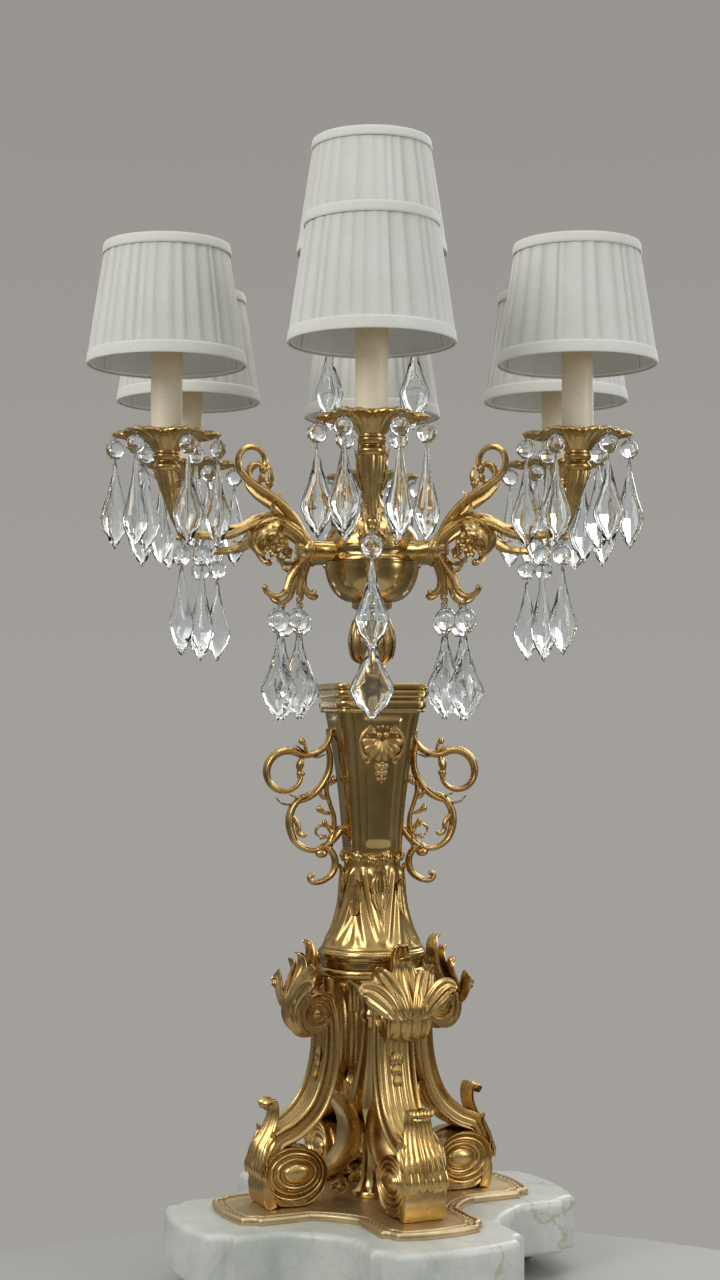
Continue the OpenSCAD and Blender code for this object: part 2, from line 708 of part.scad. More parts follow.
// A shade: a cone of lined cloth on a wire frame that clips round the bulb
module shade() {
    z = shade_lift;
    clip_r = bulb_r + play + shade_wire;
    clip_z = sleeve_lift + sleeve_h + bulb_h * 0.36;
    k = (clip_z - z) / shade_h;
    rim = mix(shade_low_r, shade_top_r, k);
    top_z = z + shade_h - shade_wire;
    color(cloth)
        union() {
            rotate_extrude($fn = round_fn)
                polygon([
                    [shade_low_r - shade_t, z], [shade_low_r, z],
                    [shade_top_r, z + shade_h], [shade_top_r - shade_t, z + shade_h]
                ]);
            translate([0, 0, clip_z - shade_wire / 2])
                difference() {
                    cylinder(r = clip_r, h = shade_wire, $fn = round_fn);
                    translate([0, 0, -1]) cylinder(r = clip_r - shade_wire, h = shade_wire + 2, $fn = round_fn);
                }
            for (i = [0:2])
                rotate([0, 0, 120 * i + 30])
                    translate([clip_r - shade_wire * 0.7, -shade_wire / 2, clip_z - shade_wire / 2])
                        cube([rim - clip_r + shade_wire * 0.7 - shade_t * 0.5, shade_wire, shade_wire]);
        }
}

// Crystals
// A faceted drop that hangs down from the origin, flat across Y
module drop(l, w, t) {
    sides = 6;
    rings = [[0.02, 0.1, 0.2], [0.34, 0.52, 0.7], [0.66, 1, 1], [0.99, 0.08, 0.12]];
    loft([for (k = [len(rings) - 1:-1:0]) let (g = rings[k])
        [for (s = round_section(sides)) [s[0] * w / 2 * g[1], s[1] * t / 2 * g[2], -l * g[0]]]]);
}
module bead(d, t) {
    rotate([90, 0, 0])
        translate([0, 0, -t / 2]) rotate([0, 0, 22.5]) cylinder(r = d / 2, h = t, $fn = 8);
}
// A bead with a drop under it, hung from the origin
module hanging(d, l, w, t) {
    gap = 3;
    translate([0, 0, -gap - d / 2]) bead(d, t * 0.7);
    translate([0, 0, -gap - d]) drop(l, w, t);
    translate([0, 0, -gap - 1]) cylinder(r = 0.6, h = gap + 1, $fn = 16);
    translate([0, 0, -gap - d - l * 0.1]) cylinder(r = 0.6, h = l * 0.1 + d * 0.1, $fn = 16);
}

module swing_drops_at(i) {
    color(crystal)
        rotate([0, 0, arm_angle(i - 1)])
            translate([0, 0, socket_z + hook_z - hook_wire - play])
                for (x = hook_r)
                    translate([x, 0, 0]) rotate([0, 0, 90]) hanging(bead_d, drop_l, drop_w, drop_t);
}

module pan_drops() {
    hang_r = pan_r - 3;
    hang_z = mix(pan_tip_z, pan_h, 3 / (pan_r * 0.18)) - pan_wall - play;
    color(crystal)
        for (c = [1:arm_count + 1])
            on_candle(c)
                around(pan_drop_count, pan_turn)
                    translate([hang_r, 0, hang_z])
                        rotate([0, 0, 90]) hanging(bead_d * 0.72, drop_l, drop_w * 0.7, drop_t * 0.8);
}

module elbow_drops() {
    color(crystal)
        for (i = [1:arm_count])
            rotate([0, 0, arm_angle(i - 1)])
                for (x = elbow_r)
                    translate([x, 0, socket_z + elbow_z - play])
                        rotate([0, 0, 90]) hanging(bead_d * 0.8, drop_l, drop_w * 0.8, drop_t);
}

bun_feet();
marble_slab();
gilt_plate();
for (i = [1:lobes]) leg_at(i);
centre_baluster();
tie_rod();
rod_nuts();
neck_ring();
vase_foot();
vase_body();
vase_cap();
rotate([0, 0, 180 + vase_turn]) handle();  // handle_left
rotate([0, 0, vase_turn]) handle();  // handle_right
shell_mounts();
stem_urn();
hub_bowl();
hub_cover();
middle_stem();
for (i = [1:arm_count]) arm_at(i);
for (i = [1:arm_count + 1]) on_candle(i) drip_pan();
for (i = [1:arm_count + 1]) on_candle(i) candle_sleeve();
for (i = [1:arm_count + 1]) on_candle(i) shade();
for (i = [1:arm_count]) swing_drops_at(i);
for (i = [1:arm_count + 1]) on_candle(i) bulb();  // bulbs
for (i = [1:arm_count + 1]) on_candle(i) lamp_holder();  // lamp_holders
pan_drops();
elbow_drops();
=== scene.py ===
import math
import bmesh
import bpy
import numpy as np
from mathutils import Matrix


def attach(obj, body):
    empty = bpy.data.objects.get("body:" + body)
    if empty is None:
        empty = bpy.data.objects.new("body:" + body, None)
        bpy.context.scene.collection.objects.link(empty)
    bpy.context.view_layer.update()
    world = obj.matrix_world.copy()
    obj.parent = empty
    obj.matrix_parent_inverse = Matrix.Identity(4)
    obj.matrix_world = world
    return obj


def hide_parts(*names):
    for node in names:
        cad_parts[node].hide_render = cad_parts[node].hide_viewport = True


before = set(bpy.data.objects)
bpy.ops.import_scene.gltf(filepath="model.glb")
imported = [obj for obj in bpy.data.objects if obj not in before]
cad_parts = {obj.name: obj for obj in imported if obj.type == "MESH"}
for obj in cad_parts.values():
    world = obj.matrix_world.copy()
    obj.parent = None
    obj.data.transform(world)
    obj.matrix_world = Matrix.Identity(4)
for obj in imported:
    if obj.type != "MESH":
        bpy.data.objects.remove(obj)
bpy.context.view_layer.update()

# The camera stands in front of the lamp's axis, as the ellipses of shades and pans show (metres). The focal
# length and the small turns up and to the left are in pixels of the photo.
CAMERA_DISTANCE, CAMERA_HEIGHT = 1.6, 0.444
PHOTO_HEIGHT, FOCAL_LENGTH, LOOK_UP, LOOK_LEFT = 1280, 2000, 75, 12
SENSOR = 36.0
camera_data = bpy.data.cameras.new("camera")
camera_data.lens = SENSOR * FOCAL_LENGTH / PHOTO_HEIGHT
camera_data.sensor_width = SENSOR
camera_data.clip_start = 0.05
camera_data.clip_end = 40.0
camera = bpy.data.objects.new("camera", camera_data)
bpy.context.scene.collection.objects.link(camera)
camera.location = (0.0, -CAMERA_DISTANCE, CAMERA_HEIGHT)
camera.rotation_euler = (math.pi / 2 + math.atan(LOOK_UP / FOCAL_LENGTH), 0.0,
                         math.atan(LOOK_LEFT / FOCAL_LENGTH))
bpy.context.scene.camera = camera

# The CAD's sizes, in millimetres
FOOT_H, MARBLE_H, PLATE_H, LEG_H, RING_H = 18.0, 42.0, 5.0, 173.0, 22.0
VASE_FOOT_H, VASE_H, CAP_H, URN_H, BOWL_H, COVER_H = 76.0, 110.0, 23.0, 65.0, 32.0, 40.0
SOCKET_RISE, CUP_RISE, STEM_RISE = 8.0, 68.0, 106.0
MARBLE_Z = FOOT_H
PLATE_Z = MARBLE_Z + MARBLE_H
LEG_Z = PLATE_Z + PLATE_H
RING_Z = LEG_Z + LEG_H
VASE_FOOT_Z = RING_Z + RING_H
VASE_Z = VASE_FOOT_Z + VASE_FOOT_H
CAP_Z = VASE_Z + VASE_H
URN_Z = CAP_Z + CAP_H
BOWL_Z = URN_Z + URN_H
COVER_Z = BOWL_Z + BOWL_H
SOCKET_Z = COVER_Z + SOCKET_RISE
STEM_Z = COVER_Z + COVER_H
CUP_Z = SOCKET_Z + CUP_RISE
STEM_TOP = CUP_Z + STEM_RISE
BASE_TURN, VASE_TURN = 24.0, 15.0
FOOT_R, FEET_RING_R = 11.0, 132.0
RING_R, URN_R, HUB_R = 43.0, 19.0, 38.0
VASE_LOW, VASE_TOP = 20.5, 33.0
ARM_REACH, SOCKET_END = 180.0, 56.0
PAN_R, PAN_H = 42.0, 17.0
SLEEVE_R, SLEEVE_H, SLEEVE_LIFT = 12.0, 82.0, 10.0
BULB_R, BULB_H = 15.0, 58.0
SHADE_LOW_R, SHADE_TOP_R, SHADE_H, SHADE_T, SHADE_RISE = 61.0, 48.0, 92.0, 1.5, 57.0
DROP_L, DROP_W, DROP_T, BEAD_D = 68.0, 30.0, 11.0, 21.0
ARM_ANGLES = [-90.0, -30.0, 30.0, 90.0, 150.0, 210.0]
CANDLES = len(ARM_ANGLES) + 1
MM = 0.001
CREASE = math.radians(50)
TAU = 2 * math.pi


# Geometry
class Mesh:
    """Vertices in millimetres, faces, and a material index for each face."""

    def __init__(self):
        self.v, self.f, self.m, self.s, self.n = [], [], [], [], 0

    def add(self, verts, faces, mat=0, smooth=True):
        verts = np.asarray(verts, float).reshape(-1, 3)
        self.v.append(verts)
        for f in faces:
            self.f.append([i + self.n for i in f])
        self.m += [mat] * len(faces)
        self.s += [smooth] * len(faces)
        self.n += len(verts)
        return self

    def join(self, other, matrix=None, offset=(0, 0, 0)):
        v = np.concatenate(other.v) if other.v else np.zeros((0, 3))
        if matrix is not None:
            v = v @ np.asarray(matrix, float).T
        v = v + np.asarray(offset, float)
        self.v.append(v)
        for f in other.f:
            self.f.append([i + self.n for i in f])
        self.m += other.m
        self.s += other.s
        self.n += len(v)
        return self

    def data(self, name, materials, attribute=None, closed=True):
        """The Blender mesh. attribute is (name, a value for each vertex)."""
        data = bpy.data.meshes.new(name)
        data.from_pydata((np.concatenate(self.v) * MM).tolist(), [], self.f)
        data.polygons.foreach_set("material_index", self.m)
        data.polygons.foreach_set("use_smooth", self.s)
        for m in materials:
            data.materials.append(m)
        data.update()
        if closed:
            bm = bmesh.new()
            bm.from_mesh(data)
            bmesh.ops.recalc_face_normals(bm, faces=bm.faces)
            bm.to_mesh(data)
            bm.free()
            data.set_sharp_from_angle(angle=CREASE)
        if attribute is not None:
            layer = data.attributes.new(attribute[0], "FLOAT", "POINT")
            layer.data.foreach_set("value", np.asarray(attribute[1], np.float32))
        return data


def place_object(name, data, body, replaces=(), slot=None, turn=0.0, place=(0, 0, 0)):
    o = bpy.data.objects.new(name, data)
    bpy.context.scene.collection.objects.link(o)
    o.rotation_euler = (0, 0, math.radians(turn))
    o.location = tuple(p * MM for p in place)
    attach(o, body)
    if replaces:
        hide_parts(*replaces)
    return o


def cast(mesh, finish, *pieces):
    """Gilt pieces fixed to the lamp, all of one mesh. Each piece is (name, node, turn, place)."""
    data = mesh.data(pieces[0][0], [finish])
    for name, node, turn, place in pieces:
        place_object(name, data, "lamp", (node,), "gilt", turn, place)


def rot_z(deg):
    a = math.radians(deg)
    return np.array([[math.cos(a), -math.sin(a), 0], [math.sin(a), math.cos(a), 0], [0, 0, 1.0]])


def rot_x(deg):
    a = math.radians(deg)
    return np.array([[1.0, 0, 0], [0, math.cos(a), -math.sin(a)], [0, math.sin(a), math.cos(a)]])


def rot_y(deg):
    a = math.radians(deg)
    return np.array([[math.cos(a), 0, math.sin(a)], [0, 1.0, 0], [-math.sin(a), 0, math.cos(a)]])


def smoothstep(a, b, x):
    t = np.clip((np.asarray(x, float) - a) / (b - a), 0, 1)
    return t * t * (3 - 2 * t)


def angles(n):
    """n even steps round the axis."""
    return np.linspace(0, TAU, n, endpoint=False)


def circle(r, z, g):
    """Points round the axis at the angles g, with one radius and height or one for each."""
    return np.stack([r * np.cos(g), r * np.sin(g), np.broadcast_to(z, g.shape)], 1)


def unit(v):
    """The rows of v at length 1."""
    return v / np.linalg.norm(v, axis=1)[:, None]


def headings(path):
    """Unit vectors along a path, one for each point."""
    return unit(np.gradient(path, axis=0))


def arc_length(path):
    """The length run at each point of a path."""
    return np.concatenate([[0], np.cumsum(np.linalg.norm(np.diff(path, axis=0), axis=1))])


def curve(points, n):
    """A smooth curve through the points, evenly spaced along its length."""
    p = np.asarray(points, float)
    fine = []
    for i in range(len(p) - 1):
        a, b, c, d = p[max(i - 1, 0)], p[i], p[i + 1], p[min(i + 2, len(p) - 1)]
        for k in range(16):
            t = k / 16
            fine.append(0.5 * (2 * b + (c - a) * t + (2 * a - 5 * b + 4 * c - d) * t * t
                               + (3 * b - a - 3 * c + d) * t ** 3))
    fine = np.array(fine + [p[-1]])
    s = arc_length(fine)
    at = np.linspace(0, s[-1], n)
    return np.stack([np.interp(at, s, fine[:, j]) for j in range(fine.shape[1])], 1)


def spiral(c, ra, rb, a, b, n, squash=1.0):
    """n points from radius ra at a degrees to radius rb at b degrees, round c."""
    k = np.linspace(0, 1, n)
    r = ra + (rb - ra) * k
    g = np.radians(a + (b - a) * k)
    return np.stack([c[0] + r * np.cos(g), c[1] + r * squash * np.sin(g)], 1)


def run_on(*paths):
    """One path of several. The last point of each is left to the next."""
    return np.concatenate([p[:-1] for p in paths[:-1]] + [paths[-1]])


def spread(values, n):
    """n values that run through the given ones, a little eased between them."""
    values = np.asarray(values, float)
    k = np.linspace(0, len(values) - 1, n)
    i = np.clip(k.astype(int), 0, len(values) - 2)
    f = k - i
    f = f * f * (3 - 2 * f) * 0.35 + f * 0.65
    return values[i] * (1 - f) + values[i + 1] * f


def grid_faces(rows, cols, closed=True, flip=False):
    faces = []
    for i in range(rows - 1):
        for j in range(cols if closed else cols - 1):
            a, b = i * cols + j, i * cols + (j + 1) % cols
            f = [a, b, b + cols, a + cols]
            faces.append(f[::-1] if flip else f)
    return faces


def rim_faces(rows, cols):
    """The wall between the edges of two grids of points, the second one right after the first."""
    border = ([i * cols for i in range(rows)] + [(rows - 1) * cols + j for j in range(1, cols)]
              + [i * cols + cols - 1 for i in range(rows - 2, -1, -1)] + list(range(cols - 2, 0, -1)))
    count = rows * cols
    return [[a, b, b + count, a + count] for a, b in zip(border, border[1:] + border[:1])]


def tube(mesh, rings, mat=0, caps=True):
    """Skins rings of equally many points, and closes both ends with a fan."""
    rings = np.asarray(rings, float)
    n, m = rings.shape[:2]
    verts = rings.reshape(-1, 3)
    faces = grid_faces(n, m)
    if caps:
        verts = np.concatenate([verts, rings[0].mean(0)[None], rings[-1].mean(0)[None]])
        for j in range(m):
            k = (j + 1) % m
            faces += [[n * m, k, j], [n * m + 1, (n - 1) * m + j, (n - 1) * m + k]]
    return mesh.add(verts, faces, mat)


def lathe(mesh, profile, n=96, flutes=None, mat=0, samples=None, close=True):
    """Turns (r, z) points round the axis. flutes(angle array, k array) multiplies the radius."""
    p = np.asarray(profile, float)
    if samples:
        p = curve(p, samples)
    g = angles(n)
    length = arc_length(p)
    k = length / length[-1]
    r = p[:, :1] * np.ones((1, n))
    if flutes:
        r = r * flutes(g[None, :], k[:, None])
    rings = np.stack([r * np.cos(g), r * np.sin(g), np.repeat(p[:, 1:2], n, 1)], 2)
    return tube(mesh, rings, mat, close)


def turned(mesh, profile, n, place, matrix=None):
    """Adds a turned part whose axis the matrix tilts, at its place."""
    return mesh.join(lathe(Mesh(), profile, n), matrix, place)


def section_round(n=20):
    g = angles(n) + math.pi / n
    return np.stack([np.cos(g), np.sin(g)], 1)


def section_fluted(n=48, flutes=8, depth=0.12):
    g = angles(n)
    r = 1 - depth * (0.5 - 0.5 * np.cos(flutes * g))
    return np.stack([r * np.cos(g), r * np.sin(g)], 1)


def section_band(channels=2, rim=0.16, depth=0.42, back=0.8):
    """A flat band across the width. Its outer face has raised rims and rounded channels between them."""
    u, s = [], []
    steps = 36
    for i in range(steps + 1):
        x = -1 + 2 * i / steps
        if abs(x) < 1 - rim:
            q = (x / (1 - rim) + 1) / 2 * channels
            y = 1 - depth * (math.sin(math.pi * (q % 1.0)) ** 0.7 if 0 < (q % 1.0) < 1 else 0) - 0.05
        else:
            e = (1 - abs(x)) / rim
            y = 0.72 + 0.28 * math.sin(math.pi * min(1.0, e * 1.2))
        u.append(x)
        s.append(y)
    for i in range(13):
        x = 1 - 2 * i / 12
        u.append(x * 0.96)
        s.append(-back + 0.25 * abs(x) ** 3)
    return np.stack([s, u], 1)


def band(mesh, path, t, w, section, round_ends=(0.0, 0.0)):
    """Sweeps a section along a path in the XZ plane. t and w are half thickness and half width."""
    path = np.asarray(path, float)
    n = len(path)
    d = headings(path)
    out = np.stack([d[:, 1], -d[:, 0]], 1)
    ht, hw = spread(t, n), spread(w, n)
    arc = arc_length(path)
    for size, q in zip(round_ends, (arc, arc[-1] - arc)):
        if size > 0:
            k = np.sqrt(np.clip(1 - (1 - np.clip(q / size, 0, 1)) ** 2, 0.02, 1))
            ht, hw = ht * k, hw * k
    rings = []
    for i in range(n):
        q = path[i][None, :] + out[i][None, :] * (section[:, :1] * ht[i])
        rings.append(np.stack([q[:, 0], section[:, 1] * hw[i], q[:, 1]], 1))
    return tube(mesh, rings)


def leaf(mesh, spine, normal, side, width, lobes=4, depth=0.38, cup=0.25, rib=0.9, fold=1.0, thick=0.9,
         ns=44, nw=15, sweep=0.22):
    """A lobed leaf on a 3D spine. normal and side are vectors along it, and width is its half widths."""
    s = np.linspace(0, 1, ns)
    p = curve(spine, ns)

    def along(vectors):
        v = np.asarray(vectors, float)
        at = np.linspace(0, 1, len(v))
        return unit(np.asarray([np.interp(s, at, v[:, j]) for j in range(3)]).T)

    nrm, sd = along(normal), along(side)
    w = spread(width, ns)
    ahead = headings(p)
    top = np.zeros((ns, nw, 3))
    phase = lobes * s
    lobe = 1 - depth * (1 - np.abs(np.sin(math.pi * phase)) ** 0.6)
    for j, x in enumerate(np.linspace(-1, 1, nw)):
        a = abs(x)
        reach = w * (lobe * a ** 0.5 + (1 - a ** 0.5)) if a > 0 else w
        veins = fold * w * 0.07 * np.cos(TAU * (phase - 0.5 + 0.25 * a)) * a ** 1.3
        height = cup * w * a ** 2 + rib * np.exp(-(x / 0.16) ** 2) * np.clip(w / 6, 0.1, 1) + veins
        forward = ahead * (sweep * w * a ** 1.5)[:, None]
        top[:, j] = p + sd * (x * reach)[:, None] + nrm * height[:, None] + forward
    return thick_sheet(mesh, top, nrm, thick)


def planar_leaf(mesh, path, width, out=1, **kw):
    """A leaf whose spine lies in the XZ plane and whose width runs along Y. out=1 faces right of travel."""
    p = np.asarray(path, float)
    d = headings(p)
    flat = np.zeros(len(p))
    nrm = np.stack([d[:, 1], flat, -d[:, 0]], 1) * out
    side = np.repeat([[0, 1.0, 0]], len(p), 0)
    return leaf(mesh, np.stack([p[:, 0], flat, p[:, 1]], 1), nrm, side, width, **kw)


def ball(mesh, c, r, n=20, squash=(1, 1, 1), m=None):
    m = m or n // 2
    g = angles(n)
    rings = []
    for i in range(m + 1):
        a = math.pi * (0.03 + 0.94 * i / m)
        rings.append(np.stack([c[0] + r * squash[0] * math.sin(a) * np.cos(g),
                               c[1] + r * squash[1] * math.sin(a) * np.sin(g),
                               np.full(n, c[2] - r * squash[2] * math.cos(a))], 1))
    return tube(mesh, rings)


def wire(mesh, points, r, n=8, mat=0, samples=None):
    """A round wire through 3D points."""
    p = curve(points, samples or max(6, 4 * len(points)))
    d = headings(p)
    ref = np.array([0, 0, 1.0]) if abs(d[:, 2]).mean() < 0.8 else np.array([1.0, 0, 0])
    g = angles(n)
    rings = []
    for i in range(len(p)):
        a = np.cross(d[i], ref)
        a /= max(np.linalg.norm(a), 1e-9)
        b = np.cross(d[i], a)
        rings.append(p[i] + r * (np.cos(g)[:, None] * a + np.sin(g)[:, None] * b))
    return tube(mesh, rings, mat)


def noise1(x, seed):
    """Smooth one-dimensional noise between about -1 and 1, periodic over 1."""
    rng = np.random.default_rng(seed)
    total = np.zeros_like(x)
    for k, amp in ((2, 0.6), (3, 0.5), (5, 0.4), (8, 0.3), (13, 0.2)):
        total += amp * np.sin(TAU * (k * x + rng.random()))
    return total / 2.0


def thick_sheet(mesh, top, facing, thick):
    """Closes a grid of points into a sheet with a thin rim. facing is where its face looks, row by row."""
    ns, nw = top.shape[:2]
    nn = np.cross(np.gradient(top, axis=0), np.gradient(top, axis=1))
    nn /= np.maximum(np.linalg.norm(nn, axis=2), 1e-9)[:, :, None]
    sign = np.sign((nn * np.broadcast_to(facing, (ns, 3))[:, None, :]).sum(2).mean())
    nn *= sign if sign else 1
    s, u = np.linspace(0, 1, ns), np.linspace(-1, 1, nw)
    taper = (np.clip(np.minimum(np.abs(1 - np.abs(u)) * 6, 1), 0.25, 1)[None, :]
             * np.clip(np.minimum(s, 1 - s) * 12, 0.25, 1)[:, None])
    low = top - nn * (thick * taper)[:, :, None]
    faces = []
    for f in grid_faces(ns, nw, closed=False):
        g = [x + ns * nw for x in f]
        faces += [f[::-1], g] if sign > 0 else [f, g[::-1]]
    faces += [f if sign > 0 else f[::-1] for f in rim_faces(ns, nw)]
    return mesh.add(np.concatenate([top.reshape(-1, 3), low.reshape(-1, 3)]), faces)


def petal(mesh, spine, out, width, ribs=3.0, groove=0.07, cup=0.0, thick=1.6, round_tip=0.3, lobes=0,
          depth=0.15, ns=40, nw=29, lean=0.0, round_base=0.0):
    """A broad lobe of a leaf, ribbed along its length, with rounded ends. out is where its face looks."""
    s = np.linspace(0, 1, ns)
    p = curve(spine, ns)
    t = headings(p)
    side = unit(np.cross(t, np.broadcast_to(np.asarray(out, float), (ns, 3))))
    normal = np.cross(side, t)
    w = spread(width, ns)
    for size, end in ((round_tip, s - 1 + round_tip), (round_base, round_base - s)):
        if size > 0:
            w = w * np.sqrt(1 - 0.98 * np.clip(end / size, 0, 1) ** 2)
    if lobes:
        w = w * (1 - depth * (1 - np.abs(np.sin(math.pi * lobes * s)) ** 0.7))
    top = np.zeros((ns, nw, 3))
    for j, x in enumerate(np.linspace(-1, 1, nw)):
        wave = math.cos(TAU * ribs * x) * (1 - 0.4 * abs(x)) + 0.6 * math.exp(-(x / 0.12) ** 2)
        height = w * (cup * x * x + groove * wave)
        top[:, j] = p + side * (x * w)[:, None] + normal * height[:, None] + t * (lean * w * x * x)[:, None]
    return thick_sheet(mesh, top, normal, thick)


# Materials
BLACK, WHITE = (0, 0, 0), (1, 1, 1)


class Tree:
    """A node tree, with the steps that the materials and the world share."""

    def __init__(self, tree):
        self.nodes, self.links = tree.nodes, tree.links
        self.coord = self.nodes.new("ShaderNodeTexCoord").outputs

    def feed(self, socket, value):
        """Links an output to the socket, or sets a value on it."""
        if isinstance(value, bpy.types.NodeSocket):
            self.links.new(value, socket)
        else:
            socket.default_value = value

    def fill(self, node, **values):
        """A name with a capital is an input, where _ stands for a space. The others are settings."""
        for name, value in values.items():
            if name[0].isupper():
                self.feed(node.inputs[name.replace("_", " ")], value)
            else:
                setattr(node, name, value)
        return node

    def node(self, kind, **values):
        return self.fill(self.nodes.new(kind), **values)

    def noise(self, scale, detail, **values):
        node = self.node("ShaderNodeTexNoise", Vector=self.coord["Object"], Scale=scale,
                         Detail=detail, **values)
        return node.outputs["Fac"]

    def maths(self, operation, *values, kind="ShaderNodeMath", **settings):
        node = self.node(kind, operation=operation, **settings)
        for socket, value in zip(node.inputs, values):
            self.feed(socket, value)
        return node.outputs[0]

    def ramp(self, value, *stops):
        """The colour at the value, between stops of (place, colour)."""
        node = self.node("ShaderNodeValToRGB", Fac=value)
        e = node.color_ramp.elements
        while len(e) < len(stops):
            e.new(0.5)
        for i, (at, colour) in enumerate(stops):
            e[i].position = at
            e[i].color = (*colour, 1.0)
        return node.outputs["Color"]

    def mix(self, factor, a, b, kind="MIX"):
        node = self.node("ShaderNodeMix", data_type="RGBA", blend_type=kind)
        for index, value in ((0, factor), (6, a), (7, b)):
            self.feed(node.inputs[index], (*value, 1.0) if isinstance(value, tuple) else value)
        return node.outputs[2]

    def bump(self, *layers):
        """A normal from layers of (height, strength, distance), one over the other."""
        below = {}
        for height, strength, distance in layers:
            node = self.node("ShaderNodeBump", Height=height, Strength=strength, Distance=distance, **below)
            below = {"Normal": node.outputs["Normal"]}
        return below["Normal"]


def material(name):
    m = bpy.data.materials.new(name)
    m.use_nodes = True
    tree = Tree(m.node_tree)
    return m, tree, tree.nodes.get("Principled BSDF")


def gilt_material(name, deep, bright, rough, grain=1.0, painted_shade=0.75):
    """Polished cast metal: its tone drifts, the hollows get painted shade, and the skin is slightly uneven.
    """
    m, tree, shader = material(name)
    tone = tree.ramp(tree.noise(28.0, 5.0, Roughness=0.6), (0.3, deep), (0.72, bright))
    # Painted shade: hollows and creases, found by pointiness, are darkened towards a darker copy of the deep
    # tone.
    raised = tree.node("ShaderNodeNewGeometry").outputs["Pointiness"]
    crevice_shade_mask = tree.ramp(raised, (0.40, BLACK), (0.50, WHITE))
    fine, patch = tree.noise(900.0, 3.0), tree.noise(120.0, 4.0)
    uneven = tree.node("ShaderNodeMapRange", Value=patch, To_Min=rough * 0.7, To_Max=rough * 1.5)
    tree.fill(shader, Base_Color=tree.mix(crevice_shade_mask, tuple(c * (1 - painted_shade) for c in deep), tone), Metallic=1.0,
              Roughness=uneven.outputs["Result"],
              Normal=tree.bump((patch, 0.10 * grain, 0.0006), (fine, 0.06 * grain, 0.0002)))
    return m


# The last number of each is the strength of the painted shade in the hollows.
GILT = gilt_material("gilt_cast", (0.52, 0.335, 0.118), (0.70, 0.49, 0.205), 0.25, 1.0, 0.70)
GILT_SMOOTH = gilt_material("gilt_polished", (0.53, 0.35, 0.125), (0.70, 0.495, 0.21), 0.17, 0.5, 0.6)
GILT_DULL = gilt_material("gilt_matte_relief", (0.50, 0.315, 0.12), (0.70, 0.46, 0.20), 0.38, 1.6, 0.75)
GILT_PLATE = gilt_material("gilt_worn_plate", (0.52, 0.40, 0.22), (0.72, 0.58, 0.36), 0.42, 0.8, 0.6)


def crystal_material():
    m, tree, shader = material("cut_crystal")
    tone = tree.ramp(tree.noise(60.0, 2.0), (0.35, (0.93, 0.96, 0.955)), (0.7, (0.985, 0.99, 0.985)))
    tree.fill(shader, Base_Color=tone, Transmission_Weight=1.0, IOR=1.54, Roughness=0.01)
    return m


CRYSTAL = crystal_material()


def cloth_material(name, light, painted_shade, weave, sheen, rough):
    """Woven cloth: threads both ways, slubs along the length, and painted shade in the folds from the vertex
    value.
    """
    m, tree, shader = material(name)
    # The vertex value fold carries painted shade: it mixes the cloth's colour towards the darker one in the
    # pleats' hollows.
    fold = tree.node("ShaderNodeAttribute", attribute_name="fold").outputs["Fac"]
    stain = tree.ramp(tree.noise(22.0, 4.0), (0.42, WHITE), (0.78, (0.95, 0.935, 0.88)))
    stretch = tree.node("ShaderNodeMapping", Vector=tree.coord["Object"], Scale=(1400.0, 1400.0, 60.0))
    slub = tree.node("ShaderNodeTexNoise", Vector=stretch.outputs["Vector"], Scale=1.0,
                     Detail=2.0).outputs["Fac"]
    threads = tree.node("ShaderNodeTexWave", Vector=tree.coord["Object"], Scale=weave, Distortion=1.2,
                        Detail=2.0, bands_direction="Z").outputs["Fac"]
    streak = tree.ramp(slub, (0.3, (0.93, 0.93, 0.925)), (0.7, WHITE))
    tone = tree.mix(1.0, tree.mix(fold, light, painted_shade), stain, "MULTIPLY")
    tree.fill(shader, Base_Color=tree.mix(1.0, tone, streak, "MULTIPLY"), Roughness=rough, Sheen_Weight=sheen,
              Sheen_Roughness=0.5, Normal=tree.bump((slub, 0.25, 0.0003), (threads, 0.12, 0.0002)))
    return m


# For each cloth the second colour is the painted shade of its folds.
CLOTH = cloth_material("shade_gathered_cloth", (0.66, 0.665, 0.625), (0.50, 0.505, 0.47), 500.0, 0.25, 0.85)
TAPE = cloth_material("shade_rim_tape", (0.69, 0.695, 0.65), (0.55, 0.55, 0.52), 700.0, 0.2, 0.8)
LINING = cloth_material("shade_lining", (0.62, 0.63, 0.61), (0.52, 0.53, 0.52), 600.0, 0.15, 0.7)


def sleeve_material():
    """Ivory that turns browner and darker towards the top along an uneven line, with specks of dirt."""
    m, tree, shader = material("ivory_sleeve")
    wobble = tree.noise(70.0, 3.0)
    z = tree.node("ShaderNodeSeparateXYZ", Vector=tree.coord["Object"]).outputs["Z"]
    height = tree.node("ShaderNodeMapRange", Value=tree.maths("MULTIPLY_ADD", wobble, 0.02, z),
                       From_Min=0.040, From_Max=0.085)
    tone = tree.ramp(height.outputs["Result"], (0.0, (0.76, 0.70, 0.55)), (0.55, (0.70, 0.60, 0.42)),
                     (1.0, (0.55, 0.42, 0.24)))
    dirt = tree.ramp(tree.noise(260.0, 5.0), (0.62, WHITE), (0.78, (0.82, 0.74, 0.58)))
    tree.fill(shader, Base_Color=tree.mix(1.0, tone, dirt, "MULTIPLY"), Roughness=0.42,
              Normal=tree.bump((wobble, 0.15, 0.0004)))
    return m


IVORY = sleeve_material()


def plain_material(name, a, b, scale, rough, metal=0.0):
    m, tree, shader = material(name)
    cloud = tree.noise(scale, 4.0)
    tree.fill(shader, Base_Color=tree.ramp(cloud, (0.35, a), (0.7, b)), Roughness=rough, Metallic=metal,
              Normal=tree.bump((cloud, 0.1, 0.0003)))
    return m


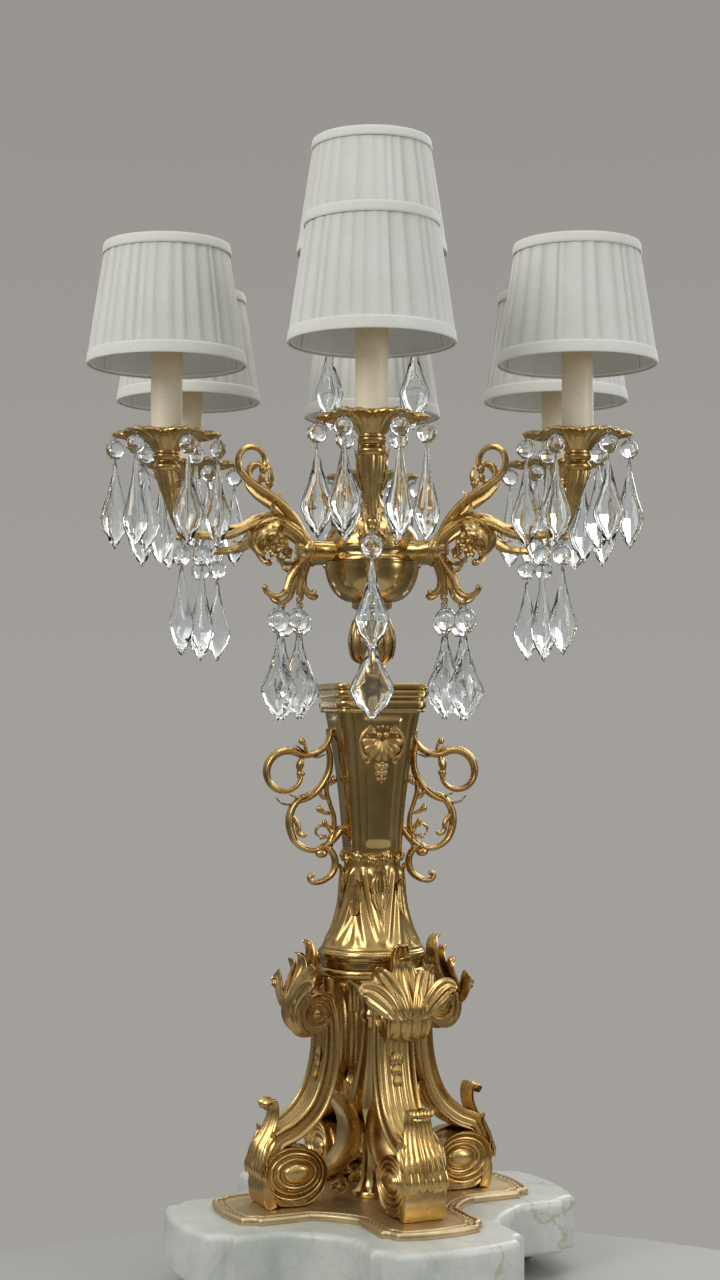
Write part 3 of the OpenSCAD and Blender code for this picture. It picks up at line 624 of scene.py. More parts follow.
STEEL = plain_material("turned_steel", (0.42, 0.43, 0.44), (0.58, 0.59, 0.60), 90.0, 0.32, 1.0)
HOLDER = plain_material("holder_plastic", (0.70, 0.68, 0.62), (0.78, 0.76, 0.70), 60.0, 0.4)
BULB = plain_material("pearl_bulb", (0.80, 0.79, 0.75), (0.86, 0.85, 0.82), 30.0, 0.25)
WIRE = plain_material("wire_white", (0.66, 0.66, 0.63), (0.74, 0.74, 0.72), 120.0, 0.45)


def marble_material():
    """White stone with pale green clouds, thin ochre veins and fine grey cracks."""
    m, tree, shader = material("veined_marble")
    cloud = tree.noise(13.0, 8.0, Roughness=0.62, Distortion=1.4)
    base = tree.ramp(cloud, (0.30, (0.45, 0.49, 0.44)), (0.46, (0.57, 0.60, 0.55)),
                     (0.62, (0.65, 0.66, 0.615)))
    bend = tree.node("ShaderNodeTexNoise", Vector=tree.coord["Object"], Scale=7.0, Detail=6.0, Roughness=0.6)
    bent = tree.maths("MULTIPLY_ADD", bend.outputs["Color"], (0.16, 0.16, 0.16), tree.coord["Object"],
                      kind="ShaderNodeVectorMath")

    def edges(scale, *stops):
        cells = tree.node("ShaderNodeTexVoronoi", Vector=bent, Scale=scale, feature="DISTANCE_TO_EDGE")
        return tree.ramp(cells.outputs["Distance"], *stops)

    gate = tree.ramp(tree.noise(9.0, 2.0), (0.45, BLACK), (0.58, WHITE))
    vein = tree.mix(1.0, edges(14.0, (0.0, WHITE), (0.035, BLACK)), gate, "MULTIPLY")
    tone = tree.mix(tree.maths("MULTIPLY", vein, 0.68), base, (0.43, 0.355, 0.20))
    crack = edges(34.0, (0.0, (0.80, 0.83, 0.81)), (0.03, WHITE))
    tree.fill(shader, Base_Color=tree.mix(0.6, tone, crack, "MULTIPLY"), Roughness=0.33,
              Subsurface_Weight=0.08, Subsurface_Radius=(0.004, 0.004, 0.004),
              Normal=tree.bump((cloud, 0.05, 0.0005)))
    return m


MARBLE = marble_material()


# Shades
CLIP_Z = SLEEVE_LIFT + SLEEVE_H + BULB_H * 0.36
SHADE_Z = SLEEVE_LIFT + SHADE_RISE
PLEATS = 34
RIM_WIRE_INSET, RIM_WIRE_LIFT = 2.6, 2.0
CLIP_R = BULB_R + 1.4


def shade_r(k):
    """The shade's outer radius, from k=0 at its lower rim to 1 at the upper one."""
    return SHADE_LOW_R + (SHADE_TOP_R - SHADE_LOW_R) * k


def shade_cloth(seed):
    """The gathered outer cloth: irregular pleats that start and end under the rim tapes."""
    rng = np.random.default_rng(seed)
    g = angles(540)
    # Pleats of uneven width: a warped angle drives a folded wave
    edges = np.cumsum(rng.uniform(0.5, 1.9, PLEATS))
    edges = np.concatenate([[0], edges]) / edges[-1] * TAU
    index = np.clip(np.searchsorted(edges, g, side="right") - 1, 0, PLEATS - 1)
    q = (g - edges[index]) / (edges[index + 1] - edges[index])
    high = rng.uniform(0.35, 1.0, PLEATS)[index]
    peak = 0.72 + 0.2 * rng.uniform(-0.25, 0.25, PLEATS)[index]
    drift = rng.uniform(-0.05, 0.05, PLEATS)[index]
    rings, fold = [], []
    for k in np.linspace(0, 1, 26):
        ease = smoothstep(0.0, 0.10, k) * smoothstep(0.0, 0.10, 1 - k)
        puff = 0.35 + 0.65 * math.sin(math.pi * k)
        qq = np.clip(q + drift * math.sin(math.pi * k), 0, 1)
        saw = np.where(qq < peak, qq / peak, (1 - qq) / (1 - peak))
        wave = 0.5 * saw ** 0.8 + 0.5 * (0.5 - 0.5 * np.cos(math.pi * np.clip(saw, 0, 1)))
        amp = (0.35 + 1.25 * ease * puff) * high
        r = shade_r(k) - 0.9 + (wave - 0.62) * amp * 1.15 + 0.25 * noise1((g / TAU) + k * 0.02, seed + 7)
        rings.append(circle(r, SHADE_Z + 3.2 + (SHADE_H - 6.4) * k, g))
        # fold is painted shade: darkest in each pleat's hollow, and a little along the lower rim.
        fold.append(np.clip((1 - wave) ** 2.2 * (0.35 + 0.65 * ease) * high + 0.10 * (k < 0.08), 0, 1))
    return tube(Mesh(), rings, caps=False), np.array(fold).ravel()


def shade_trim(seed):
    """Rim tapes with a stitched edge, the lining, and the wire frame with its clip ring."""
    mesh = Mesh()
    g = angles(240)
    wob = 0.18 * noise1(g / TAU, seed + 3)
    low_tape = [(-1.5, 0.9), (-1.7, 0.2), (-0.8, 0.0), (0.1, 0.25), (0.35, 1.1), (0.42, 2.4), (0.40, 4.75),
                (0.42, 7.7), (0.25, 8.9), (-0.35, 9.5), (-0.9, 9.2)]
    top_tape = [(-0.9, 0.3), (-0.35, 0.0), (0.25, 0.6), (0.42, 1.8), (0.40, 4.0), (0.42, 6.0), (0.30, 7.2),
                (0.0, 7.9), (-0.8, 8.0), (-1.7, 7.7), (-1.6, 6.8)]
    for low, extra, shape in ((0.0, 0.45, low_tape), (SHADE_H - 8.0, 0.40, top_tape)):
        rings = []
        for off, dz in shape:
            r = shade_r((low + dz) / SHADE_H) + off * 0.9 - 0.25 + extra * 0.3 + wob * 0.6
            rings.append(circle(r, SHADE_Z + low + dz + wob * 0.5, g))
        tube(mesh, rings, caps=False)
    # Lining: closed below and above against the tapes, drawn slightly over its wires
    rings = [circle(shade_r(k) - SHADE_T - 0.55 + 0.2 * np.cos(24 * g), SHADE_Z + 0.9 + (SHADE_H - 1.8) * k,
                    g) for k in np.linspace(0, 1, 14)]
    mesh.add(np.array(rings), grid_faces(len(rings), len(g), flip=True), 1)

    # Wires: two rims, the clip ring that grips the bulb and three spokes
    def hoop(r, z, t, sides=8):
        around = angles(72)
        out = circle(1.0, 0.0, around)
        b = angles(sides)
        up = np.array([0, 0, 1.0])
        pts = [c + t * (np.cos(b)[:, None] * o + np.sin(b)[:, None] * up) for c,
               o in zip(circle(r, z, around), out)]
        faces = []
        for i in range(len(pts)):
            for j in range(sides):
                k, far = (j + 1) % sides, (i + 1) % len(pts) * sides
                faces.append([i * sides + j, i * sides + k, far + k, far + j])
        mesh.add(np.array(pts), faces, 2)

    for dz in (-0.54, 0.54):
        hoop(CLIP_R, CLIP_Z + dz, 0.85)
    low_r, top_r = SHADE_LOW_R - RIM_WIRE_INSET, SHADE_TOP_R - RIM_WIRE_INSET
    low_z, top_z = SHADE_Z + RIM_WIRE_LIFT, SHADE_Z + SHADE_H - RIM_WIRE_LIFT
    hoop(low_r, low_z, 0.8)
    hoop(top_r, top_z, 0.8)
    rim = shade_r((CLIP_Z - SHADE_Z) / SHADE_H) - 2.2
    for a in np.radians((30, 150, 270)):
        c, s = math.cos(a), math.sin(a)
        wire(mesh, [(CLIP_R * c, CLIP_R * s, CLIP_Z), (rim * 0.6 * c, rim * 0.6 * s, CLIP_Z + 0.4),
                    (rim * c, rim * s, CLIP_Z)], 0.9, 8, 2, 10)
        wire(mesh, [(low_r * c, low_r * s, low_z), (top_r * c, top_r * s, top_z)], 0.8, 8, 2, 4)
    return mesh


def candle_place(i):
    """(turn, place) of candle i, where the last one is the raised middle candle."""
    if i < len(ARM_ANGLES):
        a = math.radians(ARM_ANGLES[i])
        return ARM_ANGLES[i], (ARM_REACH * math.cos(a), ARM_REACH * math.sin(a), CUP_Z)
    return 0.0, (0.0, 0.0, STEM_TOP)


def cloth_area(mesh):
    v = np.concatenate(mesh.v) * MM
    f = np.array(mesh.f)
    a, b, c, d = (v[f[:, i]] for i in range(4))
    halves = (np.linalg.norm(np.cross(p - a, q - a), axis=1) for p, q in ((b, c), (c, d)))
    return float(sum(halves).sum() / 2)


def build_shades():
    for i in range(CANDLES):
        place = candle_place(i)[1]
        cloth, fold = shade_cloth(11 + i)
        name = f"shade_{i + 1}"
        # The fold value gives the cloth its painted shade in the pleats.
        data = cloth.data(f"cloth_{i + 1}", [CLOTH], ("fold", fold), False)
        o = place_object(f"cloth_{i + 1}", data, name, (name,), "shade_cloth", 0.0, place)
        thick = o.modifiers.new("cloth thickness", "SOLIDIFY")
        thick.thickness = 0.0004
        thick.offset = -1
        data = shade_trim(31 + i).data(f"shade_trim_{i + 1}", [TAPE, LINING, WIRE])
        trim = place_object(f"shade_trim_{i + 1}", data, name, (), "shade_cloth", 0.0, place)
        area = cloth_area(cloth)


# Candles
def build_candles():
    top = SLEEVE_LIFT + SLEEVE_H
    inner = SLEEVE_R - 1.4
    profile = [(inner, SLEEVE_LIFT + 0.2), (SLEEVE_R - 0.3, SLEEVE_LIFT + 0.1), (SLEEVE_R, SLEEVE_LIFT + 1)]
    profile += [(SLEEVE_R - 0.10 * math.sin(k * 9.0) ** 2, SLEEVE_LIFT + 1 + (SLEEVE_H - 2.2) * k)
                for k in np.linspace(0.02, 1, 22)]
    profile += [(SLEEVE_R - 0.35, top - 0.3), (SLEEVE_R - 0.8, top), (SLEEVE_R - 1.3, top - 0.4),
                (inner, top - 2), (inner, SLEEVE_LIFT + 0.2)]
    g = angles(64)
    sleeve = tube(Mesh(), [circle(r, z, g) for r, z in profile], caps=False)
    glass = [(9.0, top + 1.5), (9.6, top + 4)]
    glass += [(BULB_R * r, top + BULB_H * z) for r, z in ((0.84, 0.2), (0.94, 0.27), (0.99, 0.36),
                                                          (0.94, 0.54), (0.84, 0.66),
                                                          (0.66, 0.78), (0.48, 0.87))]
    glass += [(3.9, top + BULB_H * 0.95), (0.4, top + BULB_H - 0.1)]
    bulb = lathe(Mesh(), glass, 64, samples=40)
    lathe(bulb, [(9.3, top - 11.8), (9.3, top + 2.2)], 48, mat=1, samples=6)
    sleeve_data, bulb_data = sleeve.data("sleeve_1", [IVORY]), bulb.data("bulb_1", [BULB, STEEL])
    for i in range(CANDLES):
        turn, place = candle_place(i)
        place_object(f"sleeve_{i + 1}", sleeve_data, "lamp", (f"candle_sleeve_{i + 1}",),
                     "sleeve", turn, place)
        place_object(f"bulb_{i + 1}", bulb_data, "lamp", ("bulbs",), "bulb_glass", turn, place)


# Drip pans
def drip_pan_mesh(petals=6, turn=30.0):
    """A fluted cone that opens into drooping leaf tips, on a turned collar."""
    mesh = Mesh()
    n, rows = 288, 40
    g = angles(n)
    prof = curve([(7.8, -0.2), (9.2, 0.4), (9.8, 1.4), (9.4, 2.6), (10.4, 3.6), (12.5, 6.5), (15.0, 9.6),
                  (19.5, 12.8), (26.0, 15.2), (33.0, 16.4), (38.0, 16.2), (42.0, 14.4)], rows)
    ang = g - math.radians(turn)
    lobe = np.abs(np.cos(petals * ang / 2))
    waves = np.cos(petals * 4 * ang)
    top = []
    for r, z in prof:
        k = np.clip((r - 12) / 30, 0, 1)
        tip = 1 - 0.20 * k ** 1.4 * (1 - lobe ** 0.55) - 0.05 * k * (0.5 - 0.5 * waves) * lobe
        flute = (0.9 * (0.4 + k)) * waves * math.sin(math.pi * min(1, 0.1 + k * 0.9)) if r > 10.2 else 0
        ridge = 1.1 * k * np.exp(-((1 - lobe) / 0.02))
        valley = -1.6 * k ** 1.5 * (1 - lobe) ** 2
        zz = z + flute * 0.7 + ridge + valley - 1.4 * np.clip(k - 0.75, 0, 1) * 4 * lobe ** 4 * 0.3
        top.append(circle(r * (tip if k > 0 else 1), np.minimum(zz, PAN_H), g))
    top = np.array(top)
    low = top.copy()
    low[:, :, 2] -= np.linspace(1.6, 0.8, rows)[:, None] * 0.9
    # The sheet starts with its underside, which shows from the front. Above, it ends at the sleeve's seat
    seat = 12
    tube(mesh, [*low, *top[:seat - 1:-1]], caps=False)
    tube(mesh, [top[seat], circle(14.0, SLEEVE_LIFT, g), circle(12.3, SLEEVE_LIFT, g)], caps=False)
    return lathe(mesh, [(5.2, -0.2), (7.8, -0.2)], n=48, close=False)


def build_pans():
    cast(drip_pan_mesh(), GILT, *[(f"pan_{i + 1}", f"drip_pan_{i + 1}", *candle_place(i))
                                  for i in range(CANDLES)])


# Crystals
def cut_drop(mesh, c, length, width, thick, turn=0.0):
    """A kite-shaped cut drop: a flat table on both faces, two rows of bevels and a thin girdle."""
    l, w, t = length, width / 2, thick / 2
    outline = [(0.0, 0.9), (-0.12, 1.7), (-0.24, 0.20 * w + 1.2), (-0.42, 0.56 * w), (-0.58, 0.90 * w),
               (-0.66, 1.0 * w), (-0.72, 0.92 * w), (-0.745, 0.82 * w), (-0.80, 0.76 * w), (-0.84, 0.62 * w),
               (-0.86, 0.50 * w), (-0.91, 0.38 * w), (-0.955, 0.16 * w), (-1.0, 0.0)]
    right = [(x, z * l) for z, x in outline]
    left = [(-x, z) for x, z in right[::-1][1:]]
    loop = np.array(right + left)
    n = len(loop)
    centre = -0.60 * l
    verts = []
    for scale, drop, y in ((1.0, 0.0, 0.5), (0.86, 0.07, t * 0.50), (0.60, 0.30, t * 0.92)):
        for x, z in loop:
            up = z > centre
            zz = centre + (z - centre) * (scale if up else min(1.0, scale + 0.10)) - drop * (z - centre) * up
            verts.append((x * scale, y, zz))
    for x, y, z in list(verts):
        verts.append((x, -y, z))
    faces = []
    back = 3 * n
    for j in range(n):
        k = (j + 1) % n
        faces.append([back + j, back + k, k, j])
        for a, b in ((0, n), (n, 2 * n)):
            if (j + a // n) % 2:
                front = [[a + j, a + k, b + k], [a + j, b + k, b + j]]
            else:
                front = [[a + j, a + k, b + j], [a + k, b + k, b + j]]
            faces += front
            faces += [[back + i for i in f][::-1] for f in front]
    faces.append([2 * n + j for j in range(n)])
    faces.append([back + 2 * n + j for j in range(n)][::-1])
    mesh.add(np.array(verts, float) @ rot_z(turn).T + np.asarray(c, float), faces, 0, smooth=False)


def facets(n, phases):
    """Flats between rings of n points: squares where two rings have one phase, else triangles."""
    faces = []
    for i, (pa, pb) in enumerate(zip(phases, phases[1:])):
        for j in range(n):
            k = (j + 1) % n
            a, b = i * n, (i + 1) * n
            if pa == pb:
                faces.append([a + j, a + k, b + k, b + j])
            elif pa > pb:
                faces += [[a + j, b + k, b + j], [a + j, a + k, b + k]]
            else:
                faces += [[a + j, a + k, b + j], [a + k, b + k, b + j]]
    return faces


def cut_bead(mesh, c, size, thick, turn=0.0):
    """An octagonal bead with a star-cut table on each face."""
    n = 8
    table_r, mid_r, out_r = size * 0.24, size * 0.38, size * 0.5
    layers = [(table_r, thick / 2, 0.5), (mid_r, thick * 0.36, 0.0), (out_r, thick * 0.10, 0.5),
              (out_r, -thick * 0.10, 0.5), (mid_r, -thick * 0.36, 0.0), (table_r, -thick / 2, 0.5)]
    verts = []
    for r, y, ph in layers:
        for j in range(n):
            a = TAU * (j + ph) / n
            verts.append((r * math.cos(a), y, r * math.sin(a)))
    faces = facets(n, [ph for r, y, ph in layers]) + [list(range(n))[::-1], [5 * n + j for j in range(n)]]
    v = np.array(verts, float) @ rot_z(turn).T + np.asarray(c, float)
    mesh.add(v, [f[::-1] for f in faces], 0, smooth=False)


def pear_drop(mesh, c, length, width, thick, turn=0.0):
    """A faceted pear drop, cut in long flats that meet at a low point."""
    n = 10
    prof = [(0.9, 0.0), (1.4, -0.08), (0.34, -0.30), (0.66, -0.50), (0.94, -0.66), (1.0, -0.73),
            (0.86, -0.82), (0.52, -0.93), (0.03, -1.0)]
    rings = []
    for i, (r, z) in enumerate(prof):
        a = angles(n) + (math.pi / n if i % 2 else 0)
        # the two rings of the neck are in millimetres, the others in half widths
        rx, ry = (r, r) if i < 2 else (r * width / 2, r * thick / 2)
        rings.append(np.stack([rx * np.cos(a), ry * np.sin(a), np.full(n, z * length)], 1))
    last = (len(rings) - 1) * n
    faces = facets(n, [i % 2 for i in range(len(rings))])
    faces += [list(range(n)), [last + j for j in range(n)][::-1]]
    v = np.concatenate(rings) @ rot_z(turn).T + np.asarray(c, float)
    mesh.add(v, [f[::-1] for f in faces], 0, smooth=False)


def pin(mesh, points, r=0.45):
    wire(mesh, points, r, 6, 1, max(5, 3 * len(points)))


def chain(mesh, top, bead, length, width, thick, turn, kind="kite", gap=3.0):
    """Bead and drop on bent wire pins, hung from top."""
    x, y, z = top
    cut_bead(mesh, (x, y, z - gap - bead / 2), bead, thick * 0.7, turn)
    a = math.radians(turn)
    eye = np.array([x, y, z - 1.2])
    side, up = np.array([math.cos(a), math.sin(a), 0]), np.array([0, 0, 1.0])
    turns = [TAU * i / 8 for i in range(9)]
    pin(mesh, [eye + side * 1.2 * math.sin(b) + up * 1.2 * math.cos(b) for b in turns], 0.4)
    pin(mesh, [(x, y, z - 2.2), (x, y, z - gap - 2.2)])
    low = z - gap - bead
    pin(mesh, [(x, y, low + 1.8), (x, y, low - 0.4), (x, y, low - length * 0.06)])
    if kind == "kite":
        cut_drop(mesh, (x, y, low), length, width, thick, turn)
    else:
        pear_drop(mesh, (x, y, low), length, width * 0.82, max(thick, width * 0.5), turn)


# Where drops hang along an arm, and the height there: the hook's rings under its scrolls and the elbow's eyes
HOOK_DROP, HOOK_RING_R, HANG_GAP = 40.0, 2.0, 0.4
HOOK_R = (67.0, 84.0)
HOOK_Z = SOCKET_Z - HOOK_DROP - 2.2 - HANG_GAP
ELBOW_R = (150.0, 167.0)
ELBOW_Z = SOCKET_Z + 3.4 - HANG_GAP


def build_crystals():
    rng = np.random.default_rng(5)
    glass = [CRYSTAL, STEEL]
    for i, a in enumerate(ARM_ANGLES):
        # the drops of the four slanting arms face forwards and back as far as their spacing allows
        facing = 90.0 if i in (0, 3) else (60.0 if i in (1, 4) else 120.0)
        mesh = Mesh()
        for k, r in enumerate(HOOK_R):
            turn = facing + rng.uniform(-5, 5)
            chain(mesh, (r, 0, HOOK_Z), BEAD_D * (1.0 if k else 0.94), DROP_L, DROP_W * 1.14, DROP_T, turn)
        name, node = f"swing_drops_cut_{i + 1}", f"swing_drops_{i + 1}"
        place_object(name, mesh.data(name, glass), node, (node,), "crystal", a)
        mesh = Mesh()
        for k, r in enumerate(ELBOW_R):
            turn = facing + rng.uniform(-8, 8)
            chain(mesh, (r, 0, ELBOW_Z), BEAD_D * 0.8, DROP_L, DROP_W * 0.84, DROP_T, turn,
                  "pear" if k == 0 and i % 2 else "kite")
        name = f"elbow_drops_cut_{i + 1}"
        place_object(name, mesh.data(name, glass), "lamp", ("elbow_drops",), "crystal", a)
    hang_r = PAN_R - 3
    tip = PAN_H * 0.86
    hang_z = tip + (PAN_H - tip) * 3 / (PAN_R * 0.18) - 1.6 - HANG_GAP
    for c in range(CANDLES):
        mesh = Mesh()
        for j in range(6):
            p = rot_z(30 + 60 * j) @ np.array([hang_r, 0, 0])
            turn = rng.uniform(-32, 32) - candle_place(c)[0]
            chain(mesh, (p[0], p[1], hang_z), BEAD_D * 0.72, DROP_L, DROP_W * 0.8, DROP_T * 0.8, turn,
                  "kite" if rng.random() < 0.75 else "pear")
        name = f"pan_drops_cut_{c + 1}"
        place_object(name, mesh.data(name, glass), "lamp", ("pan_drops",), "crystal", *candle_place(c))


# Arms
def arm_mesh():
    """One arm: socket collar, leafed branch, fluted horn, two volutes and a hooked leaf scroll below."""
    mesh = Mesh()
    e, r = SOCKET_END, ARM_REACH
    # collar on the hub socket
    turned(mesh, [(0.2, 0), (8.8, 0), (9.2, 0.8), (9.2, 2.0), (8.4, 2.8), (8.9, 3.8), (8.9, 5.6), (8.0, 6.6),
                  (6.6, 7.4), (5.6, 9.5), (4.8, 12.0), (0.2, 12.4)], 48, (e, 0, 0), rot_y(90))
    # the branch from the socket out to the elbow
    branch = curve([[e + 3, 0], [e + 10, 12], [e + 30, 22], [e + 52, 18], [r - 52, 9], [r - 30, 7.6],
                    [r - 17, 9.5], [r - 10, 14]], 110)
    band(mesh, branch, [6.5, 5.6, 5.2, 4.9, 4.4, 3.6, 3.4, 3.6], [7.5, 6.6, 6.0, 5.2, 4.4, 3.6, 3.4, 3.6],
         section_fluted(48, 6, 0.10))
    # the fluted horn that rises to the cup
    horn = curve([[r - 14.5, 10.5], [r - 10, 15], [r - 6.5, 24], [r - 3, 38], [r - 0.6, 50], [r, 56]], 60)
    band(mesh, horn, [3.2, 3.9, 4.8, 6.2, 7.8, 8.4], [3.2, 3.9, 4.8, 6.2, 7.8, 8.4],
         section_fluted(64, 10, 0.13), round_ends=(5.0, 0))
    turned(mesh, [(0.2, 54), (7.6, 54.2), (9.4, 55.4), (10.4, 57.2), (10.2, 59.2), (8.4, 60.6), (8.2, 62.0),
                  (9.6, 63.4), (10.4, 65.2), (10.4, 67.2), (9.6, CUP_RISE - 0.1),
                  (0.2, CUP_RISE)], 64, (r, 0, 0))
    # small knuckle at the elbow
    ball(mesh, (r - 14.5, 0, 9.0), 4.6, 20, (1.1, 1.0, 0.9))
    ball(mesh, (r - 10.5, 0, 4.4), 2.4, 14)
    for x in ELBOW_R:
        wire(mesh, [(x, 0, 8.5), (x, 0.9, 6.6), (x, 0, 4.9), (x, -0.4, 4.0)], 0.9, 8, 0, 10)
    # tall volute: leaves the branch near the socket and curls outwards over it
    tall = run_on(curve([[e + 5, 2], [e + 12, 19], [e + 25, 34], [e + 40, 43.5], [e + 53, 51],
                         [e + 61.2, 58.6]], 60), spiral((e + 50.8, 66.5), 13.2, 10.4, -36, 204, 56))
    band(mesh, tall, [5.0, 4.4, 3.8, 3.3, 2.8, 2.4, 2.2, 2.7], [7.0, 6.2, 5.0, 4.2, 3.6, 3.2, 2.8, 3.4],
         section_fluted(40, 4, 0.12), round_ends=(2, 2.4))
    ball(mesh, (tall[-1][0] + 0.6, 0, tall[-1][1] - 1.0), 3.3, 18)
    # short volute, turning the same way, from the crown of the branch
    short = run_on(curve([[e + 38, 41], [e + 46, 45.5], [e + 52.5, 50.5], [e + 54.6, 56.2]], 30),
                   spiral((e + 47.4, 58.6), 7.6, 5.4, -16, 200, 40))
    band(mesh, short, [3.0, 2.6, 2.3, 2.1, 1.9, 2.0], [4.2, 3.6, 3.0, 2.6, 2.3, 2.4],
         section_fluted(32, 4, 0.10), round_ends=(1.5, 2.2))
    ball(mesh, (short[-1][0] + 0.5, 0, short[-1][1] - 2.0), 3.2, 16, (0.9, 0.9, 1.2))
    # a leafy spur on the crown, and a reed that ties the two scrolls together
    spur_leaf = [[e + 33, 22], [e + 34.5, 30], [e + 32, 38], [e + 26.5, 45]]
    planar_leaf(mesh, spur_leaf, [3.2, 5.0, 4.4, 1.2], out=1, lobes=3, cup=-0.25, rib=0.8, fold=1.0,
                thick=1.2, ns=30, nw=11, sweep=0.4)
    # acanthus cloak over the crown of the branch, with leaf tips left and right
    crown = curve([[e + 6, 8], [e + 14, 19], [e + 30, 27.5], [e + 48, 24.5], [e + 62, 17.5], [e + 74, 15],
                   [e + 80, 18]], 50)
    planar_leaf(mesh, crown, [3, 7.5, 9.0, 8.0, 6.0, 4.0, 1.2], out=-1, lobes=6, cup=-0.35, rib=1.0, fold=1.2,
                thick=1.2, ns=60, nw=15, sweep=0.5)
    side_leaf = curve([[e + 26, 21], [e + 40, 21], [e + 50, 14], [e + 52, 4], [e + 46, -4], [e + 41, -3]], 50)
    band(mesh, side_leaf, [3.6, 3.2, 2.8, 2.4, 2.0, 1.6], [5.0, 6.4, 6.6, 5.4, 3.6, 2.4],
         section_band(2, 0.2, 0.5), round_ends=(2, 2))
    ball(mesh, (e + 42.5, 0, -4.0), 3.0, 16, (1, 1.2, 1))
    for sgn in (-1, 1):
        leaf(mesh, [(e + 20, sgn * 3.0, 19), (e + 34, sgn * 9.5, 20.5), (e + 47, sgn * 12.5, 14.5),
                    (e + 54, sgn * 13.5, 6.5)], [(0, sgn * 0.45, 0.9), (0.1, sgn * 0.6, 0.8),
                                                 (0.55, sgn * 0.6, 0.55), (0.9, sgn * 0.4, 0.2)],
             [(0.1, 0.9 * sgn, -0.42), (0.1, 0.8 * sgn, -0.6), (-0.2, 0.75 * sgn, -0.6),
              (-0.2, 0.9 * sgn, -0.3)], [2.2, 5.6, 5.2, 1.0], lobes=4, cup=-0.25, fold=1.3, thick=1.0, ns=40,
             nw=13, sweep=0.4)
    # hooked scrolls below the socket, with a leaf bud where they part
    back = curve([[e + 4, -1], [e + 8, -12], [e + 8.5, -22], [e + 4.5, -31], [e - 1.0, -34.5],
                  [e - 4.5, -31.5]], 50)
    band(mesh, back, [4.6, 4.2, 3.2, 2.6, 2.2, 2.4], [6.0, 5.4, 4.0, 3.0, 2.6, 2.8],
         section_fluted(36, 4, 0.12), round_ends=(2, 2.2))
    front = curve([[e + 5, -3], [e + 12, -13], [e + 18, -23], [e + 22, -33], [e + 30, -37.5], [e + 38, -34.5],
                   [e + 40.5, -28.5]], 60)
    band(mesh, front, [4.8, 4.2, 3.6, 3.0, 2.5, 2.2, 2.6], [6.4, 5.6, 4.4, 3.4, 2.8, 2.6, 2.8],
         section_fluted(36, 4, 0.12), round_ends=(2, 2.4))
    spur = curve([[e + 5.5, -6], [e + 8.5, -18], [e + 10.0, -28], [e + 11, -37]], 24)
    band(mesh, spur, [3.6, 2.8, 2.2, 1.7], [4.2, 3.2, 2.4, 1.8], section_round(20), round_ends=(0, 1.6))
    for x in HOOK_R:
        turns = [TAU * i / 12 for i in range(13)]
        wire(mesh, [(x, HOOK_RING_R * math.sin(a), HOOK_RING_R * math.cos(a) - HOOK_DROP)
                    for a in turns], 0.75, 8, 0, 26)
    wire(mesh, [(HOOK_R[1], 0, 4.0 - HOOK_DROP), (HOOK_R[1], 0, 1.6 - HOOK_DROP)], 1.5, 10, 0, 4)
    planar_leaf(mesh, [[e + 3, -2], [e + 9, -8], [e + 17, -12], [e + 25, -12], [e + 30, -7], [e + 28, -2]],
                [4.0, 6.8, 7.2, 6.0, 4.0, 1.2], out=1, lobes=5, cup=-0.3, rib=0.9, fold=1.3, thick=1.2, ns=48,
                nw=13, sweep=0.5)
    planar_leaf(mesh, [[e + 7, -9], [e + 12, -17], [e + 17, -25], [e + 19, -31]], [3.2, 5.0, 3.8, 0.8], out=1,
                lobes=4, cup=-0.3, rib=0.8, fold=1.2, thick=1.0, ns=36, nw=11, sweep=0.5)
    # open flower with five petals beside the crown
    for sgn in (-1, 1):
        fx, fy, fz = e + 31, sgn * 8.6, 4.5
        for j in range(5):
            a = TAU * j / 5 + 0.3
            d = np.array([math.cos(a), 0, math.sin(a)])
            p0 = np.array([fx, fy, fz])
            leaf(mesh, [p0, p0 + d * 3.4 + np.array([0, sgn * 1.3, 0]),
                        p0 + d * 6.6 + np.array([0, sgn * 0.6, 0])], [(0, sgn, 0)] * 3,
                 [np.cross(d, [0, sgn, 0])] * 3, [0.8, 2.6, 0.8], lobes=1, depth=0.1, cup=0.3, rib=0.3,
                 fold=0.4, thick=0.8, ns=12, nw=7, sweep=0.2)
        ball(mesh, (fx, fy + sgn * 1.2, fz), 1.7, 12)
        wire(mesh, [(fx, fy, fz), (fx - 3, fy - sgn * 3.5, fz + 5),
                    (fx - 5, fy - sgn * 7, fz + 12)], 1.3, 8, 0, 10)
    return mesh


def build_arms():
    pieces = [(f"arm_cast_{i}", f"arm_{i}", a, (0, 0, SOCKET_Z)) for i, a in enumerate(ARM_ANGLES, 1)]
    cast(arm_mesh(), GILT, *pieces)


